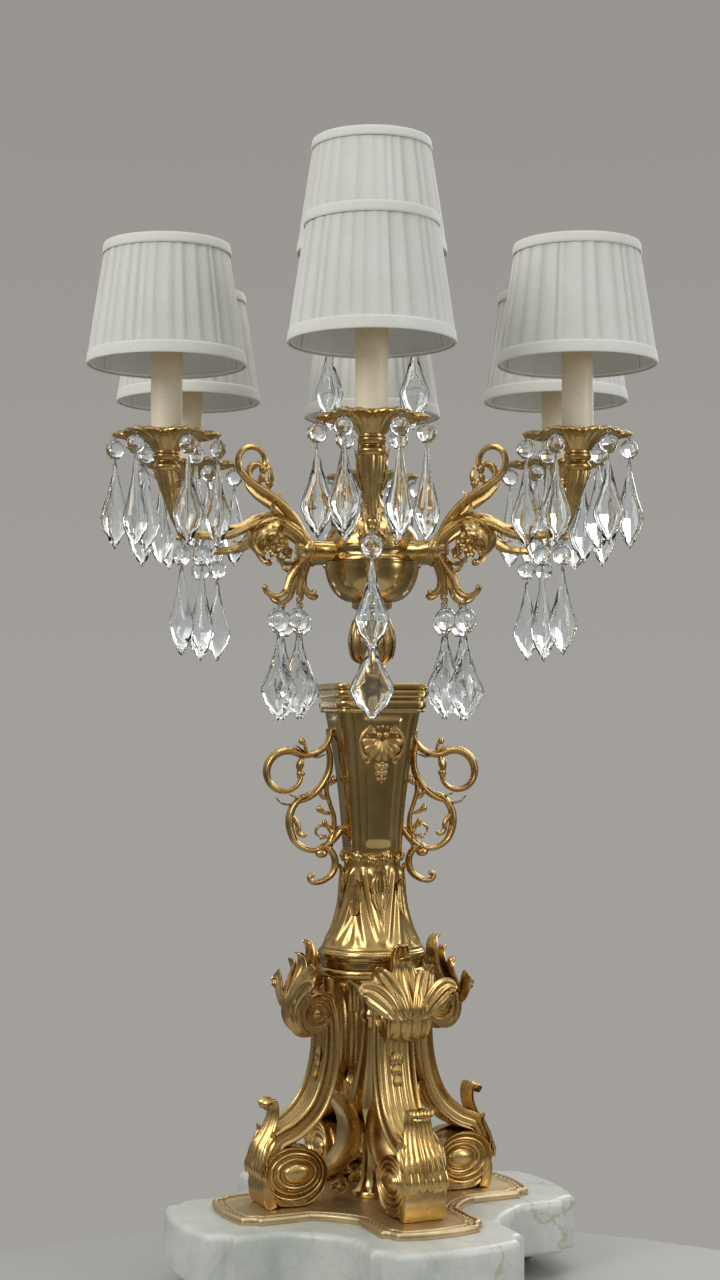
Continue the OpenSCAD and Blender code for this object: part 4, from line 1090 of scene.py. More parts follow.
# Hub, stems and vase
def build_hub():
    bowl = Mesh()
    seat = URN_R * 0.85
    prof = [(0.3, 0.0), (seat - 0.4, 0.0), (seat, 0.6), (seat - 0.6, 1.6), (seat + 0.4, 2.6)]
    for k in np.linspace(0.10, 0.97, 26):
        q = math.pi / 2 * k
        prof.append((seat + (HUB_R - seat) * math.sin(q), BOWL_H * (1 - math.cos(q)) * 0.985 + 0.3))
    prof += [(HUB_R, BOWL_H - 1.6), (HUB_R, BOWL_H - 0.25), (HUB_R - 0.8, BOWL_H), (0.3, BOWL_H)]
    lathe(bowl, prof, 144)
    cast(bowl, GILT_SMOOTH, ("hub_bowl_turned", "hub_bowl", 0, (0, 0, BOWL_Z)))
    cover = Mesh()
    c = COVER_H
    prof = [(0.3, 0.0), (HUB_R - 0.8, 0.0), (HUB_R, 0.3), (HUB_R, c * 0.07), (HUB_R - 0.9, c * 0.09),
            (HUB_R - 1.5, c * 0.12), (HUB_R - 1.5, c * 0.235), (HUB_R - 0.9, c * 0.25), (HUB_R, c * 0.27),
            (HUB_R - 0.1, c * 0.31)]
    for k in np.linspace(0.08, 1, 20):
        prof.append((12 + (HUB_R - 12) * math.cos(math.pi / 2 * k),
                     c * (0.28 + 0.66 * math.sin(math.pi / 2 * k))))
    prof += [(12.0, c * 0.96), (11.6, c), (0.3, c)]
    lathe(cover, prof, 144)
    for a in ARM_ANGLES:
        x, y, _ = rot_z(a) @ np.array([HUB_R - 3.3, 0, 0])
        turned(cover, [(6.0, 0), (8.0, 0), (8.6, 1.2), (8.0, 2.4), (8.0, 11), (8.0, 20.0), (7.7, 20.9),
                       (0.3, 21)], 40, (x, y, SOCKET_RISE), rot_z(a) @ rot_y(90))
    # leaf collar over each gap between sockets
    for a in ARM_ANGLES:
        part = Mesh()
        planar_leaf(part, [[HUB_R - 0.6, 9], [HUB_R - 0.3, 15], [HUB_R - 5.5, 22.5], [HUB_R - 13, 29.5],
                           [HUB_R - 19, 33.5]], [3.5, 8.0, 8.5, 6.0, 1.0], out=1, lobes=4, cup=-0.10, rib=0.5,
                    fold=0.8, thick=1.0, ns=36, nw=13, sweep=0.3)
        cover.join(part, rot_z(a + 30))
    cast(cover, GILT_SMOOTH, ("hub_cover_cast", "hub_cover", 0, (0, 0, COVER_Z)))


def build_stems():
    h = STEM_TOP - STEM_Z
    stem = Mesh()
    prof = [(0.3, 0), (11.4, 0), (12, 0.8), (12, h * 0.02), (10.6, h * 0.035), (8, h * 0.055), (6, h * 0.10),
            (6.4, h * 0.12), (9, h * 0.16), (11.2, h * 0.22), (12.3, h * 0.29), (12.4, h * 0.34),
            (11.3, h * 0.41), (9.0, h * 0.50), (6.9, h * 0.57), (5.9, h * 0.63), (5.8, h * 0.66),
            (7.6, h * 0.675), (8.1, h * 0.69), (7.6, h * 0.705), (5.8, h * 0.72), (5.9, h * 0.76),
            (6.5, h * 0.80), (7.8, h * 0.86), (9.3, h * 0.91), (10.8, h * 0.94), (11, h * 0.955),
            (10.4, h * 0.97), (11, h * 0.985), (10.6, h), (0.3, h)]

    def flute(g, k):
        low = smoothstep(0.16, 0.24, k) * (1 - smoothstep(0.52, 0.60, k))
        high = smoothstep(0.66, 0.70, k) * (1 - smoothstep(0.80, 0.86, k))
        return 1 - 0.11 * (low + high) * (1 - np.abs(np.sin(6 * g)) ** 0.8)

    lathe(stem, prof, 192, flute)
    for j in range(6):
        part = Mesh()
        planar_leaf(part, [[6.6, h * 0.11], [9.8, h * 0.16], [12.2, h * 0.23], [12.9, h * 0.31],
                           [14.6, h * 0.37]], [1.5, 4.6, 5.2, 3.8, 0.8], out=1, lobes=4, cup=-0.25, rib=0.5,
                    fold=0.9, thick=0.8, ns=30, nw=11, sweep=0.3)
        stem.join(part, rot_z(60 * j))
    cast(stem, GILT, ("middle_stem_cast", "middle_stem", 0, (0, 0, STEM_Z)))
    # the fluted urn between vase and hub
    urn = Mesh()
    h, r = URN_H, URN_R
    prof = [(0.3, 0), (r * 0.78, 0), (r * 0.8, h * 0.012), (r * 0.8, h * 0.028), (r * 0.66, h * 0.05),
            (r * 0.5, h * 0.08), (r * 0.44, h * 0.13), (r * 0.44, h * 0.165), (r * 0.54, h * 0.185),
            (r * 0.57, h * 0.20), (r * 0.54, h * 0.215), (r * 0.50, h * 0.235), (r * 0.60, h * 0.26),
            (r * 0.78, h * 0.30), (r * 0.91, h * 0.37), (r * 0.985, h * 0.46), (r, h * 0.54),
            (r * 0.985, h * 0.62), (r * 0.92, h * 0.70), (r * 0.80, h * 0.78), (r * 0.68, h * 0.85),
            (r * 0.61, h * 0.89), (r * 0.62, h * 0.905), (r * 0.80, h * 0.925), (r * 0.85, h * 0.95),
            (r * 0.85, h * 0.985), (r * 0.83, h), (0.3, h)]

    def petals(g, k):
        m = smoothstep(0.36, 0.44, k) * (1 - smoothstep(0.70, 0.80, k))
        return 1 - 0.10 * m * (1 - np.abs(np.sin(6 * g)) ** 0.6)

    lathe(urn, prof, 240, petals)
    for j in range(12):
        part = Mesh()
        tip = [r * 0.97, h * 0.66] if j % 2 else [r * 0.86, h * 0.78]
        planar_leaf(part, [[r * 0.62, h * 0.25], [r * 0.90, h * 0.32], [r * 1.0, h * 0.46],
                           [r * 1.005, h * 0.56], tip], [1.2, 3.2, 4.4, 3.8, 0.6], out=1, lobes=2, depth=0.12,
                    cup=-0.1, rib=0.8, fold=0.3, thick=0.6, ns=30, nw=9, sweep=0.1)
        urn.join(part, rot_z(15 + 30 * j))
    cast(urn, GILT, ("stem_urn_fluted", "stem_urn", 0, (0, 0, URN_Z)))


def square_ring(half, cut, z, concave=0.0, panel=0.0, n=14):
    """A square outline with chamfered corners. Each side bows in by concave; panel raises its middle."""
    pts = []
    for i in range(4):
        side = []
        span = half - cut
        for j in range(n):
            y = -span + 2 * span * j / (n - 1)
            q = y / max(span, 1e-6)
            edge = 1 - float(smoothstep(0.62, 0.70, abs(q)))
            side.append((half - concave * (1 - q * q) + panel * edge, y))
        g = math.radians(90 * i)
        for x, y in side:
            pts.append((x * math.cos(g) - y * math.sin(g), x * math.sin(g) + y * math.cos(g), z))
    return np.array(pts)


def vase_half(k):
    """Half the vase's width at height k, 0 below and 1 above."""
    return VASE_LOW + (VASE_TOP - VASE_LOW) * (0.35 * k + 0.65 * k * k)


def build_vase():
    body = Mesh()
    rings = []
    for k in np.linspace(0, 1, 64):
        half = vase_half(k)
        soft = smoothstep(0.02, 0.10, k) * (1 - smoothstep(0.93, 0.985, k))
        rings.append(square_ring(half, half * 0.30, VASE_H * k, -1.5 * soft, 0.75 * float(soft), 34))
    tube(body, rings)
    cast(body, GILT_SMOOTH, ("vase_panels", "vase_body", VASE_TURN, (0, 0, VASE_Z)))
    cap = Mesh()
    t, c = VASE_TOP, CAP_H
    rings = []
    for z, s in [(0, 1.0), (0, 1.045), (0.03, 1.06), (0.09, 1.06), (0.12, 1.04), (0.15, 1.05), (0.17, 1.08),
                 (0.23, 1.09), (0.30, 1.092), (0.37, 1.09), (0.41, 1.07), (0.43, 1.045), (0.48, 1.045),
                 (0.50, 1.09), (0.53, 1.115), (0.58, 1.125), (0.66, 1.13), (0.74, 1.125), (0.78, 1.10),
                 (0.80, 1.13), (0.83, 1.165), (0.90, 1.17), (0.96, 1.165), (0.99, 1.15),
                 (1.0, 1.10), (1.0, 0.62)]:
        rings.append(square_ring(t * s, t * 0.14, c * z, 0, 0, 12))
    tube(cap, rings)
    cast(cap, GILT_SMOOTH, ("vase_cap_moulded", "vase_cap", VASE_TURN, (0, 0, CAP_Z)))


def shell_ornament():
    """A scallop shell that fans downwards under a rocaille frame, over a garland of husks and berries."""
    mesh = Mesh()
    n, rows = 73, 22
    verts = []
    for i in range(rows):
        k = i / (rows - 1)
        for j in range(n):
            u = -1 + 2 * j / (n - 1)
            a = math.radians(u * 92)
            ribs = abs(math.sin(math.pi * 4.0 * (u + 1)))
            r = 1.2 + (11.6 + 1.1 * ribs) * k
            up = 1.0 + 3.2 * math.sin(math.pi * min(1, k * 0.88)) + 0.9 * ribs * k
            verts.append((up, r * math.sin(a) * 0.98, 5.0 - r * math.cos(a) * 1.04))
    back = [(-0.2, y, z) for _, y, z in verts]
    mesh.add(verts + back, grid_faces(rows, n, closed=False) + rim_faces(rows, n))
    # frame: a C scroll down each side and pearls over the top
    for sgn in (-1, 1):
        for path, r, samples in (
                (spiral((sgn * 2.0, 0.5), 13.2, 12.0, 90 - sgn * 28, 90 - sgn * 132, 30), 1.15, 40),
                (spiral((sgn * 9.6, -9.4), 2.8, 1.2, 90 - sgn * 60, 90 + sgn * 230, 20), 0.95, 26)):
            wire(mesh, [(1.2, y, z) for y, z in path], r, 8, 0, samples)
        ball(mesh, (2.0, sgn * 2.3, 7.4), 2.0, 14)
        leaf(mesh, [(0.8, sgn * 3.0, 9.0), (2.2, sgn * 7.4, 11.2), (1.4, sgn * 11.6, 9.0)], [(1, 0, 0)] * 3,
             [(0, 0.3 * sgn, 1)] * 3, [1.4, 2.8, 0.7], lobes=3, cup=0.1, rib=0.4, fold=0.9,
             thick=0.9, ns=18, nw=9)
    for j in range(9):
        a = math.radians(-64 + 16 * j)
        ball(mesh, (1.0, 11.2 * math.sin(a), 1.6 + 11.2 * math.cos(a)), 1.25 - 0.04 * abs(j - 4), 10)
    # husk garland
    z = -10.2
    for i in range(7):
        s = 1.0 - 0.085 * i
        for sgn in (-1, 0, 1):
            leaf(mesh, [(0.5, 0, z), (2.6 * s, sgn * 2.6 * s, z - 2.6 * s),
                        (0.9 * s, sgn * 3.8 * s, z - 6.2 * s)], [(1, 0, 0)] * 3, [(0, 1, sgn * 0.6)] * 3,
                 [0.8 * s, 2.1 * s, 0.4 * s], lobes=1, depth=0.12, cup=-0.2, rib=0.5, fold=0.3, thick=0.8,
                 ns=12, nw=7, sweep=0.1)
        ball(mesh, (1.8 * s, sgn * 0.4, z - 0.6), 1.3 * s, 10)
        z -= 4.6 * s
    return mesh


def build_shells():
    k = 0.76
    place = (0, 0, VASE_Z + VASE_H * k)
    slope = math.degrees(math.atan2(vase_half(0.95) - vase_half(0.55), VASE_H * 0.4))
    grown = Mesh().join(shell_ornament(), np.diag([1.05, 1.22, 1.22]))
    cast(Mesh().join(grown, rot_y(slope), (vase_half(k) + 0.6, 0, 0)), GILT_DULL,
         ("shell_mount_1", "shell_mounts", VASE_TURN - 90, place),
         ("shell_mount_2", "shell_mounts", VASE_TURN + 90, place))


# Scroll handles
def handle_mesh():
    """One scroll handle in the XZ plane, X outward from the vase, Z from the foot of the vase body."""
    mesh = Mesh()
    fluted = section_fluted(36, 4, 0.14)
    upper = run_on(curve([[33.5, 97.5], [36.2, 87], [43, 79.5], [54, 76.3], [62, 78.2]], 50),
                   spiral((70, 62), 18.4, 12.0, 112, -176, 80))
    band(mesh, upper, [2.2, 2.6, 2.7, 3.3, 3.2, 2.6, 2.0, 1.7], [3.6, 4.2, 4.0, 4.4, 4.6, 4.0, 3.2, 2.6],
         fluted, round_ends=(1, 3))
    ball(mesh, (upper[-1][0] + 0.4, 0, upper[-1][1] + 0.6), 3.2, 16, (1.1, 1.2, 0.9))
    # the lower limb leaves the upper one beside the vase, crosses outwards and drops in a long bow
    limb = curve([[37.0, 86], [34.6, 74], [36.0, 62], [43, 50], [52, 42.5], [62, 38.5]], 50)
    band(mesh, limb, [2.0, 2.6, 2.9, 2.9, 2.4, 1.4], [3.0, 4.0, 4.2, 4.0, 3.4, 2.2], fluted,
         round_ends=(1, 3))
    bow = curve([[47, 46.5], [58, 42.5], [65.5, 34], [67.5, 22], [64, 10], [57, 3.5], [48, 1.0],
                 [40.5, 3.5]], 80)
    band(mesh, bow, [1.6, 2.4, 3.0, 3.3, 3.0, 2.5, 2.3, 2.2], [2.6, 3.6, 4.2, 4.5, 4.2, 3.4, 3.0, 2.8],
         fluted, round_ends=(2, 1))
    hook = curve([[66.4, 30], [61.0, 22], [60.2, 15.5], [56.5, 12.5], [53.6, 15.0]], 30)
    band(mesh, hook, [1.2, 2.0, 2.2, 1.9, 1.6], [2.0, 2.8, 3.0, 2.6, 2.2], section_round(14),
         round_ends=(1.5, 1.5))
    # leafy tips where the limbs part
    for path, width in (([[44, 52], [51, 44], [60, 42], [68, 45]], [2.0, 4.4, 4.0, 0.8]),
                        ([[37, 77], [46, 74], [56, 79], [63, 84]], [1.5, 3.6, 3.2, 0.8]),
                        ([[58, 40], [66, 37], [74, 38], [79, 43]], [1.5, 3.6, 3.0, 0.6])):
        planar_leaf(mesh, path, width, out=1, lobes=3, cup=-0.3, rib=0.6, fold=1.0, thick=1.0, ns=30,
                    nw=11, sweep=0.5)
    # husk that hangs inside the upper scroll, on a small stalk with a berry
    wire(mesh, [(54, 0, 79), (55.0, 0, 84.5), (57.5, 0, 87)], 1.5, 8, 0, 10)
    ball(mesh, (57.5, 0, 87.2), 2.8, 14)
    for sgn in (-1, 0, 1):
        leaf(mesh, [(56, sgn * 0.5, 77), (58.5 + abs(sgn), sgn * 3.2, 70), (60, sgn * 2.2, 60.5)],
             [(0.4, sgn * 0.9, 0.1)] * 3 if sgn else [(1, 0, 0.2)] * 3,
             [(0.8, -sgn * 0.5, 0)] * 3 if sgn else [(0, 1, 0)] * 3, [1.4, 3.4, 0.6], lobes=1, depth=0.1,
             cup=-0.3, rib=0.6, fold=0.4, thick=1.0, ns=20, nw=9)
    ball(mesh, (59.8, 0, 59.2), 1.7, 12)
    # leafed stem with buds that climbs between the vase and the bow
    stem = curve([[35.0, 7], [31.6, 16], [31.4, 27], [34.8, 38], [37.4, 47], [36.6, 56]], 50)
    band(mesh, stem, [2.6, 2.2, 2.0, 1.8, 2.0, 1.6], [3.6, 3.0, 2.6, 2.4, 2.6, 2.2],
         section_fluted(28, 4, 0.16), round_ends=(1, 2))
    for x, z, dx, dz, size in ((33.5, 30, 9.5, 3.5, 2.7), (36.5, 42, 7.0, 5.5, 2.4),
                               (32.0, 18, 7.0, 5.0, 2.2), (37.0, 53, -5.5, 3.5, 2.9),
                               (32.2, 12, 9.0, -1.0, 2.0)):
        wire(mesh, [(x, 0, z), (x + dx * 0.6, 0, z + dz * 0.1), (x + dx, 0, z + dz * 0.8)], 1.3, 8, 0, 10)
        ball(mesh, (x + dx, 0, z + dz), size, 14, (1, 0.95, 1.1))
        ball(mesh, (x + dx, 0, z + dz + size * 0.95), size * 0.4, 8)
        for sgn in (-1, 1):
            leaf(mesh, [(x, sgn * 0.5, z), (x + dx * 0.55, sgn * 2.6, z + dz * 0.4),
                        (x + dx * 1.05, sgn * 2.4, z + dz * 1.1)], [(-0.3, sgn, 0.3)] * 3,
                 [(0.1, 0.2 * sgn, 1)] * 3, [0.7, 2.0, 0.4], lobes=2, cup=-0.2, rib=0.3, fold=0.6,
                 thick=0.8, ns=14, nw=7)
    # big leaf curl and the joint with the bottom of the vase
    planar_leaf(mesh, [[34, 2], [30.5, 9], [33, 17], [40, 21.5], [46, 19], [46.5, 13.5], [42.5, 11.5]],
                [3.0, 5.4, 6.0, 5.2, 3.8, 2.6, 1.0], out=-1, lobes=5, cup=-0.3, rib=0.8, fold=1.3, thick=1.2,
                ns=46, nw=13, sweep=0.4)
    ball(mesh, (41.5, 0, -1.5), 4.4, 18, (1.15, 1.0, 0.85))
    ball(mesh, (35.5, 0, 1.8), 3.4, 16)
    tail = curve([[43, 2], [36, 5.5], [29, 12], [25.4, 17.0]], 24)
    band(mesh, tail, [2.6, 3.0, 2.8, 2.6], [3.2, 3.8, 3.4, 3.0], section_fluted(28, 4, 0.12),
         round_ends=(2, 0))
    # the small C scroll that stands off the vase's foot
    small = run_on(curve([[46.5, 0.5], [40.5, 3.6]], 10), spiral((43.2, -9.6), 13.4, 12.6, 96, 236, 46, 1.06),
                   curve([[36.2, -20.6], [41.5, -23.6], [48.5, -24.2], [51.5, -20.4], [49.0, -17.6]], 26))
    band(mesh, small, [1.8, 2.4, 2.8, 2.9, 2.6, 2.2, 1.9], [3.0, 3.8, 4.2, 4.2, 3.8, 3.2, 2.8], fluted,
         round_ends=(2, 2))
    ball(mesh, (49.2, 0, -18.6), 2.4, 14)
    # pegs into the faces of the vase
    for k in (0.86, 0.16):
        turned(mesh, [(0.2, 0), (4.4, 0), (4.8, 0.9), (4.2, 1.8), (2.6, 2.6), (2.6, 7.0), (0.2, 7.2)], 24,
               (vase_half(k) + 0.05, 0, VASE_H * k), rot_y(90))
    wire(mesh, [(31, 0, VASE_H * 0.86), (34.5, 0, 92), (36.4, 0, 86)], 2.4, 12, 0, 14)
    return mesh


def build_handles():
    cast(handle_mesh(), GILT, ("handle_right_cast", "handle_right", VASE_TURN, (0, 0, VASE_Z)),
         ("handle_left_cast", "handle_left", 180 + VASE_TURN, (0, 0, VASE_Z)))


# Vase foot and neck ring
def build_vase_foot():
    mesh = Mesh()
    h = VASE_FOOT_H
    rim = RING_R - 3
    profile = curve([(rim, 0), (rim - 0.2, 0.02 * h), (rim * 0.95, 0.05 * h), (rim * 0.83, 0.14 * h),
                     (rim * 0.71, 0.30 * h), (rim * 0.62, 0.5 * h), (rim * 0.57, 0.72 * h),
                     (rim * 0.56, 0.84 * h), (rim * 0.565, 0.90 * h), (rim * 0.56, 0.94 * h),
                     (VASE_LOW * 1.10, 0.965 * h), (VASE_LOW * 1.12, 0.985 * h),
                     (VASE_LOW * 1.06, h), (0.3, h)], 120)
    g = angles(400)
    from_rib = np.abs((np.degrees(g) + 45) % 90 - 45) / 45
    rings = []
    for r, z in profile:
        k = z / h
        body = smoothstep(0.02, 0.12, k) * (1 - smoothstep(0.76, 0.86, k))
        veins = 0.5 + 0.5 * np.cos(TAU * (2.6 * from_rib - 2.3 * k))
        edge = 1 - smoothstep(0.70, 1.0, from_rib)
        lift = body * (1.5 * veins * (0.35 + 0.65 * edge) + 1.1 * np.exp(-(from_rib / 0.06) ** 2)
                       + 1.2 * edge)
        rings.append(circle(r if r < 1 else r + lift, z, g))
    rings.insert(0, rings[0] * np.array([0.01, 0.01, 1]))
    tube(mesh, rings)

    def on(k, lift=0.0):
        return float(np.interp(k * h, profile[:-1, 1], profile[:-1, 0])) + lift

    # the leaves' tips curl away from the neck: four large ones, and four small ones between them
    for j in range(8):
        low, high, size = (0.42, 0.90, 1.0) if j % 2 == 0 else (0.36, 0.74, 0.72)
        part = Mesh()
        spine = [(on(low + (high - low) * q, 2.4 + (4.4 * size if q == 1 else 1.6 * q * size)), 0,
                  h * (low + (high - low) * min(q, 0.97))) for q in np.linspace(0, 1, 6)]
        petal(part, spine, (1, 0, 0.1), [size * x for x in (5.0, 7.4, 8.0, 7.0, 5.4, 3.8)], 2.5, 0.08, -0.12,
              1.6, 0.3, 3, 0.16)
        mesh.join(part, rot_z(45 * j))
    # berries and buds round the top of the leaves
    r = VASE_LOW * 1.12 + 0.4
    for j in range(12):
        part = Mesh()
        z, size = (h * 0.955, 3.6) if j % 2 else (h * 0.925, 3.0)
        ball(part, (r, 0, z), size, 18, (0.75, 1, 1))
        for q in range(5):
            b = TAU * q / 5
            ball(part, (r + 0.4, size * 0.9 * math.cos(b), z + size * 0.9 * math.sin(b)),
                 size * 0.5, 10, (0.7, 1, 1))
        mesh.join(part, rot_z(30 * j + 15))
    cast(mesh, GILT, ("vase_foot_leaves", "vase_foot", VASE_TURN, (0, 0, VASE_FOOT_Z)))


def build_ring():
    mesh = Mesh()
    r, h = RING_R, RING_H
    lathe(mesh, [(0.3, 0), (r - 5.0, 0), (r - 3.0, 0.2), (r - 1.6, 1.2), (r - 0.6, 2.6), (r - 0.2, 4.2),
                 (r - 0.5, 5.8), (r - 1.4, 7.0), (r - 2.6, 7.6), (r - 2.6, 8.2), (r - 2.0, 8.4),
                 (r - 1.9, 9.0), (r - 2.0, 13.2), (r - 1.2, 13.5), (r - 1.1, 14.0), (r - 1.7, 14.3),
                 (r - 1.7, 14.6), (r - 0.4, 14.9), (r, 15.4), (r, 19.2), (r - 0.3, 19.8), (r - 0.9, 20.0),
                 (r - 1.0, 20.6), (r - 2.0, 21.7), (r - 2.8, h), (0.3, h)], 192)
    cast(mesh, GILT_SMOOTH, ("neck_ring_turned", "neck_ring", 0, (0, 0, RING_Z)))


# Legs
# The eyes of the leg's two volutes, (x, z) from the axis and the plate
FOOT_EYE, HEAD_EYE = (66.0, 27.0), (52.0, LEG_H - 26.0)


def leg_section():
    """Outer face sunk between rims and reeded, a hollow moulding along each side, and a lobed back."""
    pts = []
    for i in range(49):
        u = -1 + 2 * i / 48
        a = abs(u)
        if a > 0.80:
            s = 1.0 - 0.22 * ((a - 0.90) / 0.10) ** 2
        else:
            q = (u / 0.80 + 1) / 2
            s = 0.60 + 0.10 * abs(math.sin(math.pi * 5 * q)) + 0.05 * math.cos(math.pi * u / 0.8)
        pts.append((s, u))
    for i in range(1, 14):
        q = i / 14
        pts.append((0.78 - 1.56 * q, 1 - 0.17 * math.sin(math.pi * q) ** 0.8
                    + 0.03 * math.cos(4 * math.pi * q)))
    for i in range(33):
        u = 1 - 2 * i / 32
        q = (u + 1) / 2
        pts.append((-0.72 - 0.26 * abs(math.sin(math.pi * 3 * q)) ** 0.7
                    - 0.06 * math.cos(math.pi * u / 2), u * 0.97))
    for i in range(1, 14):
        q = i / 14
        pts.append((-0.78 + 1.56 * q, -1 + 0.17 * math.sin(math.pi * q) ** 0.8
                    - 0.03 * math.cos(4 * math.pi * q)))
    return np.array(pts)


def ridged_boss(wide, high, height, shift=0.0):
    """The eye of a scroll, face up: stepped oval rings round a bulging boss, set shift off centre."""
    mesh = Mesh()
    prof = [(0.02, 1.0), (0.14, 0.97), (0.26, 0.82), (0.36, 0.50), (0.41, 0.12), (0.44, 0.0), (0.48, 0.04),
            (0.52, 0.28), (0.56, 0.44), (0.60, 0.34), (0.64, 0.10), (0.68, 0.06), (0.72, 0.30), (0.76, 0.52),
            (0.80, 0.42), (0.84, 0.14), (0.88, 0.14), (0.92, 0.42), (0.955, 0.58), (0.985, 0.42),
            (1.0, 0.0), (1.0, -1.6)]
    n = 84
    g = angles(n)
    rings = []
    for q, z in curve(prof, 90):
        inner = max(0.0, 1 - q)
        rings.append(np.stack([shift * inner + q * wide * (1 + 0.25 * inner) * np.cos(g),
                               q * high * (1 - 0.12 * inner) * np.sin(g), np.full(n, z * height)], 1))
    tube(mesh, rings)
    return mesh


def leg_mesh():
    """One leg, X outward from the axis and Z from the gilt plate."""
    mesh = Mesh()
    shaft = run_on(
        spiral(FOOT_EYE, 13.0, 26.5, -262, 20, 110),
        curve([[91.0, 36.2], [85.5, 50.2], [69, 58.4], [54, 71.5], [45.4, 88], [40.8, 107], [39.4, 126],
               [40.4, 142], [43.3, 154.5]], 110),
        spiral(HEAD_EYE, 11.8, 4.6, 137, -200, 90))
    t = [3.0, 4.2, 5.2, 5.8, 6.0, 6.4, 7.4, 8.2, 8.2, 7.8, 7.2, 6.4, 5.4, 4.4, 3.6, 2.8, 2.4]
    w = [11.0, 13.4, 15.0, 16.6, 17.0, 17.0, 17.0, 17.0, 16.8, 16.2, 15.8, 15.6, 15.4, 15.2, 15.0, 14.6, 14.2]
    band(mesh, shaft, t, w, leg_section(), round_ends=(2.5, 1.5))
    for y, turn in ((1, -90), (-1, 90)):
        mesh.join(ridged_boss(24.6, 20.5, 5.4, -6.0), rot_x(turn),
                  (FOOT_EYE[0] + 7.6, y * 15.4, FOOT_EYE[1] - 1.2))
        mesh.join(ridged_boss(10.4, 10.0, 3.6, 1.5), rot_x(turn), (HEAD_EYE[0] + 0.6, y * 14.4,
                                                                   HEAD_EYE[1] - 0.4))
    turned(mesh, [(0.2, -14), (18.5, -14), (18.5, 14), (0.2, 14)], 48,
           (FOOT_EYE[0] + 4, 0, FOOT_EYE[1] - 1.0), rot_x(90))
    turned(mesh, [(0.2, -15), (14.0, -15), (15.0, -13.6), (15.0, 13.6), (14.0, 15), (0.2, 15)], 48,
           (HEAD_EYE[0] + 3.6, 0, HEAD_EYE[1] - 1.6), rot_x(90))
    # the plain toe block under the foot's leaf, and the sole behind it
    toe_block = curve([[90.0, 0.0], [92.6, 6], [93.4, 14], [92.8, 24]], 24)
    band(mesh, toe_block, [4.6, 5.2, 5.4, 5.0], [17.0, 17.6, 17.6, 17.0], section_band(1, 0.10, 0.10, 0.95))
    sole = curve([[52, 6.5], [60, 3.6], [72, 3.0], [84, 5.0], [91, 10.5]], 40)
    band(mesh, sole, [2.0, 3.4, 2.9, 3.4, 2.0], [12.0, 16.0, 16.8, 16.6, 15.0],
         section_band(1, 0.12, 0.2, 0.9), round_ends=(3, 3))
    # inner loop: a ribbon that swings in from the shaft and back under the roll, round a teardrop hole
    loop = curve([[47, 90], [39, 84], [30, 75.5], [23, 64.5], [20.8, 51.5], [24.5, 38],
                  [34, 27.5], [48, 23]], 90)
    band(mesh, loop, [2.2, 4.2, 5.4, 6.0, 6.2, 5.8, 5.0, 4.4], [7.0, 10.4, 12.6, 13.0, 13.0, 12.6, 11.8,
                                                                10.8], section_band(2, 0.18, 0.5, 0.9),
         round_ends=(3, 0))
    petal(mesh, [(29, 0, 73), (32.0, 0, 80), (34.0, 0, 88), (32.2, 0, 96)], (-1, 0, 0.3),
          [8.0, 8.6, 6.0, 3.2], 2.5, 0.08, -0.25, 2.2)
    # toe: a leafy curl that reaches in along the plate
    toe = curve([[48, 15], [40, 13.4], [33, 15.4], [27.5, 14.5], [24.5, 9.8], [27.5, 5.4], [32.5, 5.4],
                 [34.0, 9.2]], 60)
    band(mesh, toe, [3.0, 3.4, 3.2, 3.4, 3.2, 2.8, 2.4, 2.2], [8.0, 8.4, 8.6, 9.0, 8.4, 7.4, 6.6, 6.0],
         section_fluted(40, 6, 0.16), round_ends=(2, 2.4))
    planar_leaf(mesh, [[45, 20], [37, 19], [30, 22], [25, 27.5]], [7.0, 8.0, 6.2, 1.4], out=1, lobes=4,
                cup=-0.25, rib=0.8, fold=1.2, thick=1.4, ns=36, nw=13, sweep=0.4)
    # acanthus on the roll of the foot: a ribbed leaf with a rolled tip, and small lobes at its lower edge
    petal(mesh, [(99.0, 0, 25), (100.2, 0, 34), (97.6, 0, 45), (92.2, 0, 54), (88.2, 0, 61.5), (85.8, 0, 69),
                 (85.6, 0, 75.4), (87.2, 0, 79.8), (90.8, 0, 81.0), (93.4, 0, 78.2), (92.0, 0, 75.0),
                 (89.4, 0, 74.8)], (1, 0, 0.3), [17.4, 18.2, 18.2, 17.2, 15.8, 14.4, 13.0, 12.0, 11.4, 11.0,
                                                 10.4, 9.4], 3.5, 0.06, -0.06, 2.2, 0.08, 0,
          0, 110, 71, -0.16)
    for sgn in (-1, 1):
        petal(mesh, [(97.4, sgn * 12, 29), (98.2, sgn * 13.4, 38), (95.0, sgn * 14.6, 47),
                     (91.0, sgn * 15.8, 54), (91.4, sgn * 18.0, 59.5)], (1, sgn * 0.2, 0.3),
              [6.0, 6.4, 6.0, 5.2, 4.4], 1.5, 0.08, -0.12, 2.2, 0.34)
    for j in range(6):
        y = -15.0 + 6.0 * j
        petal(mesh, [(100.0, y * 0.96, 37), (102.0, y, 30), (101.2, y * 1.03, 23.0)], (1, 0, 0.1),
              [2.6, 3.4, 3.2], 1.0, 0.08, -0.28, 2.0, 0.45, ns=16, nw=13)
    # bellflower drop on the reeded face of the shaft
    for k, (x, z) in enumerate(((47.0, 117.0), (47.6, 107.5), (49.8, 98.5))):
        size = 1.0 - 0.16 * k
        for sgn in (-1, 1, 0):
            petal(mesh, [(x - 1.6, sgn * 0.8, z + 2), (x + 0.8, sgn * 2.8 * size, z - 3.6 * size),
                         (x + 0.4, sgn * 3.8 * size, z - 8.8 * size)], (1, 0, 0.1),
                  [1.4 * size, 2.5 * size, 1.9 * size], 0.5, 0.1, -0.3, 1.8, 0.5, ns=14, nw=9)
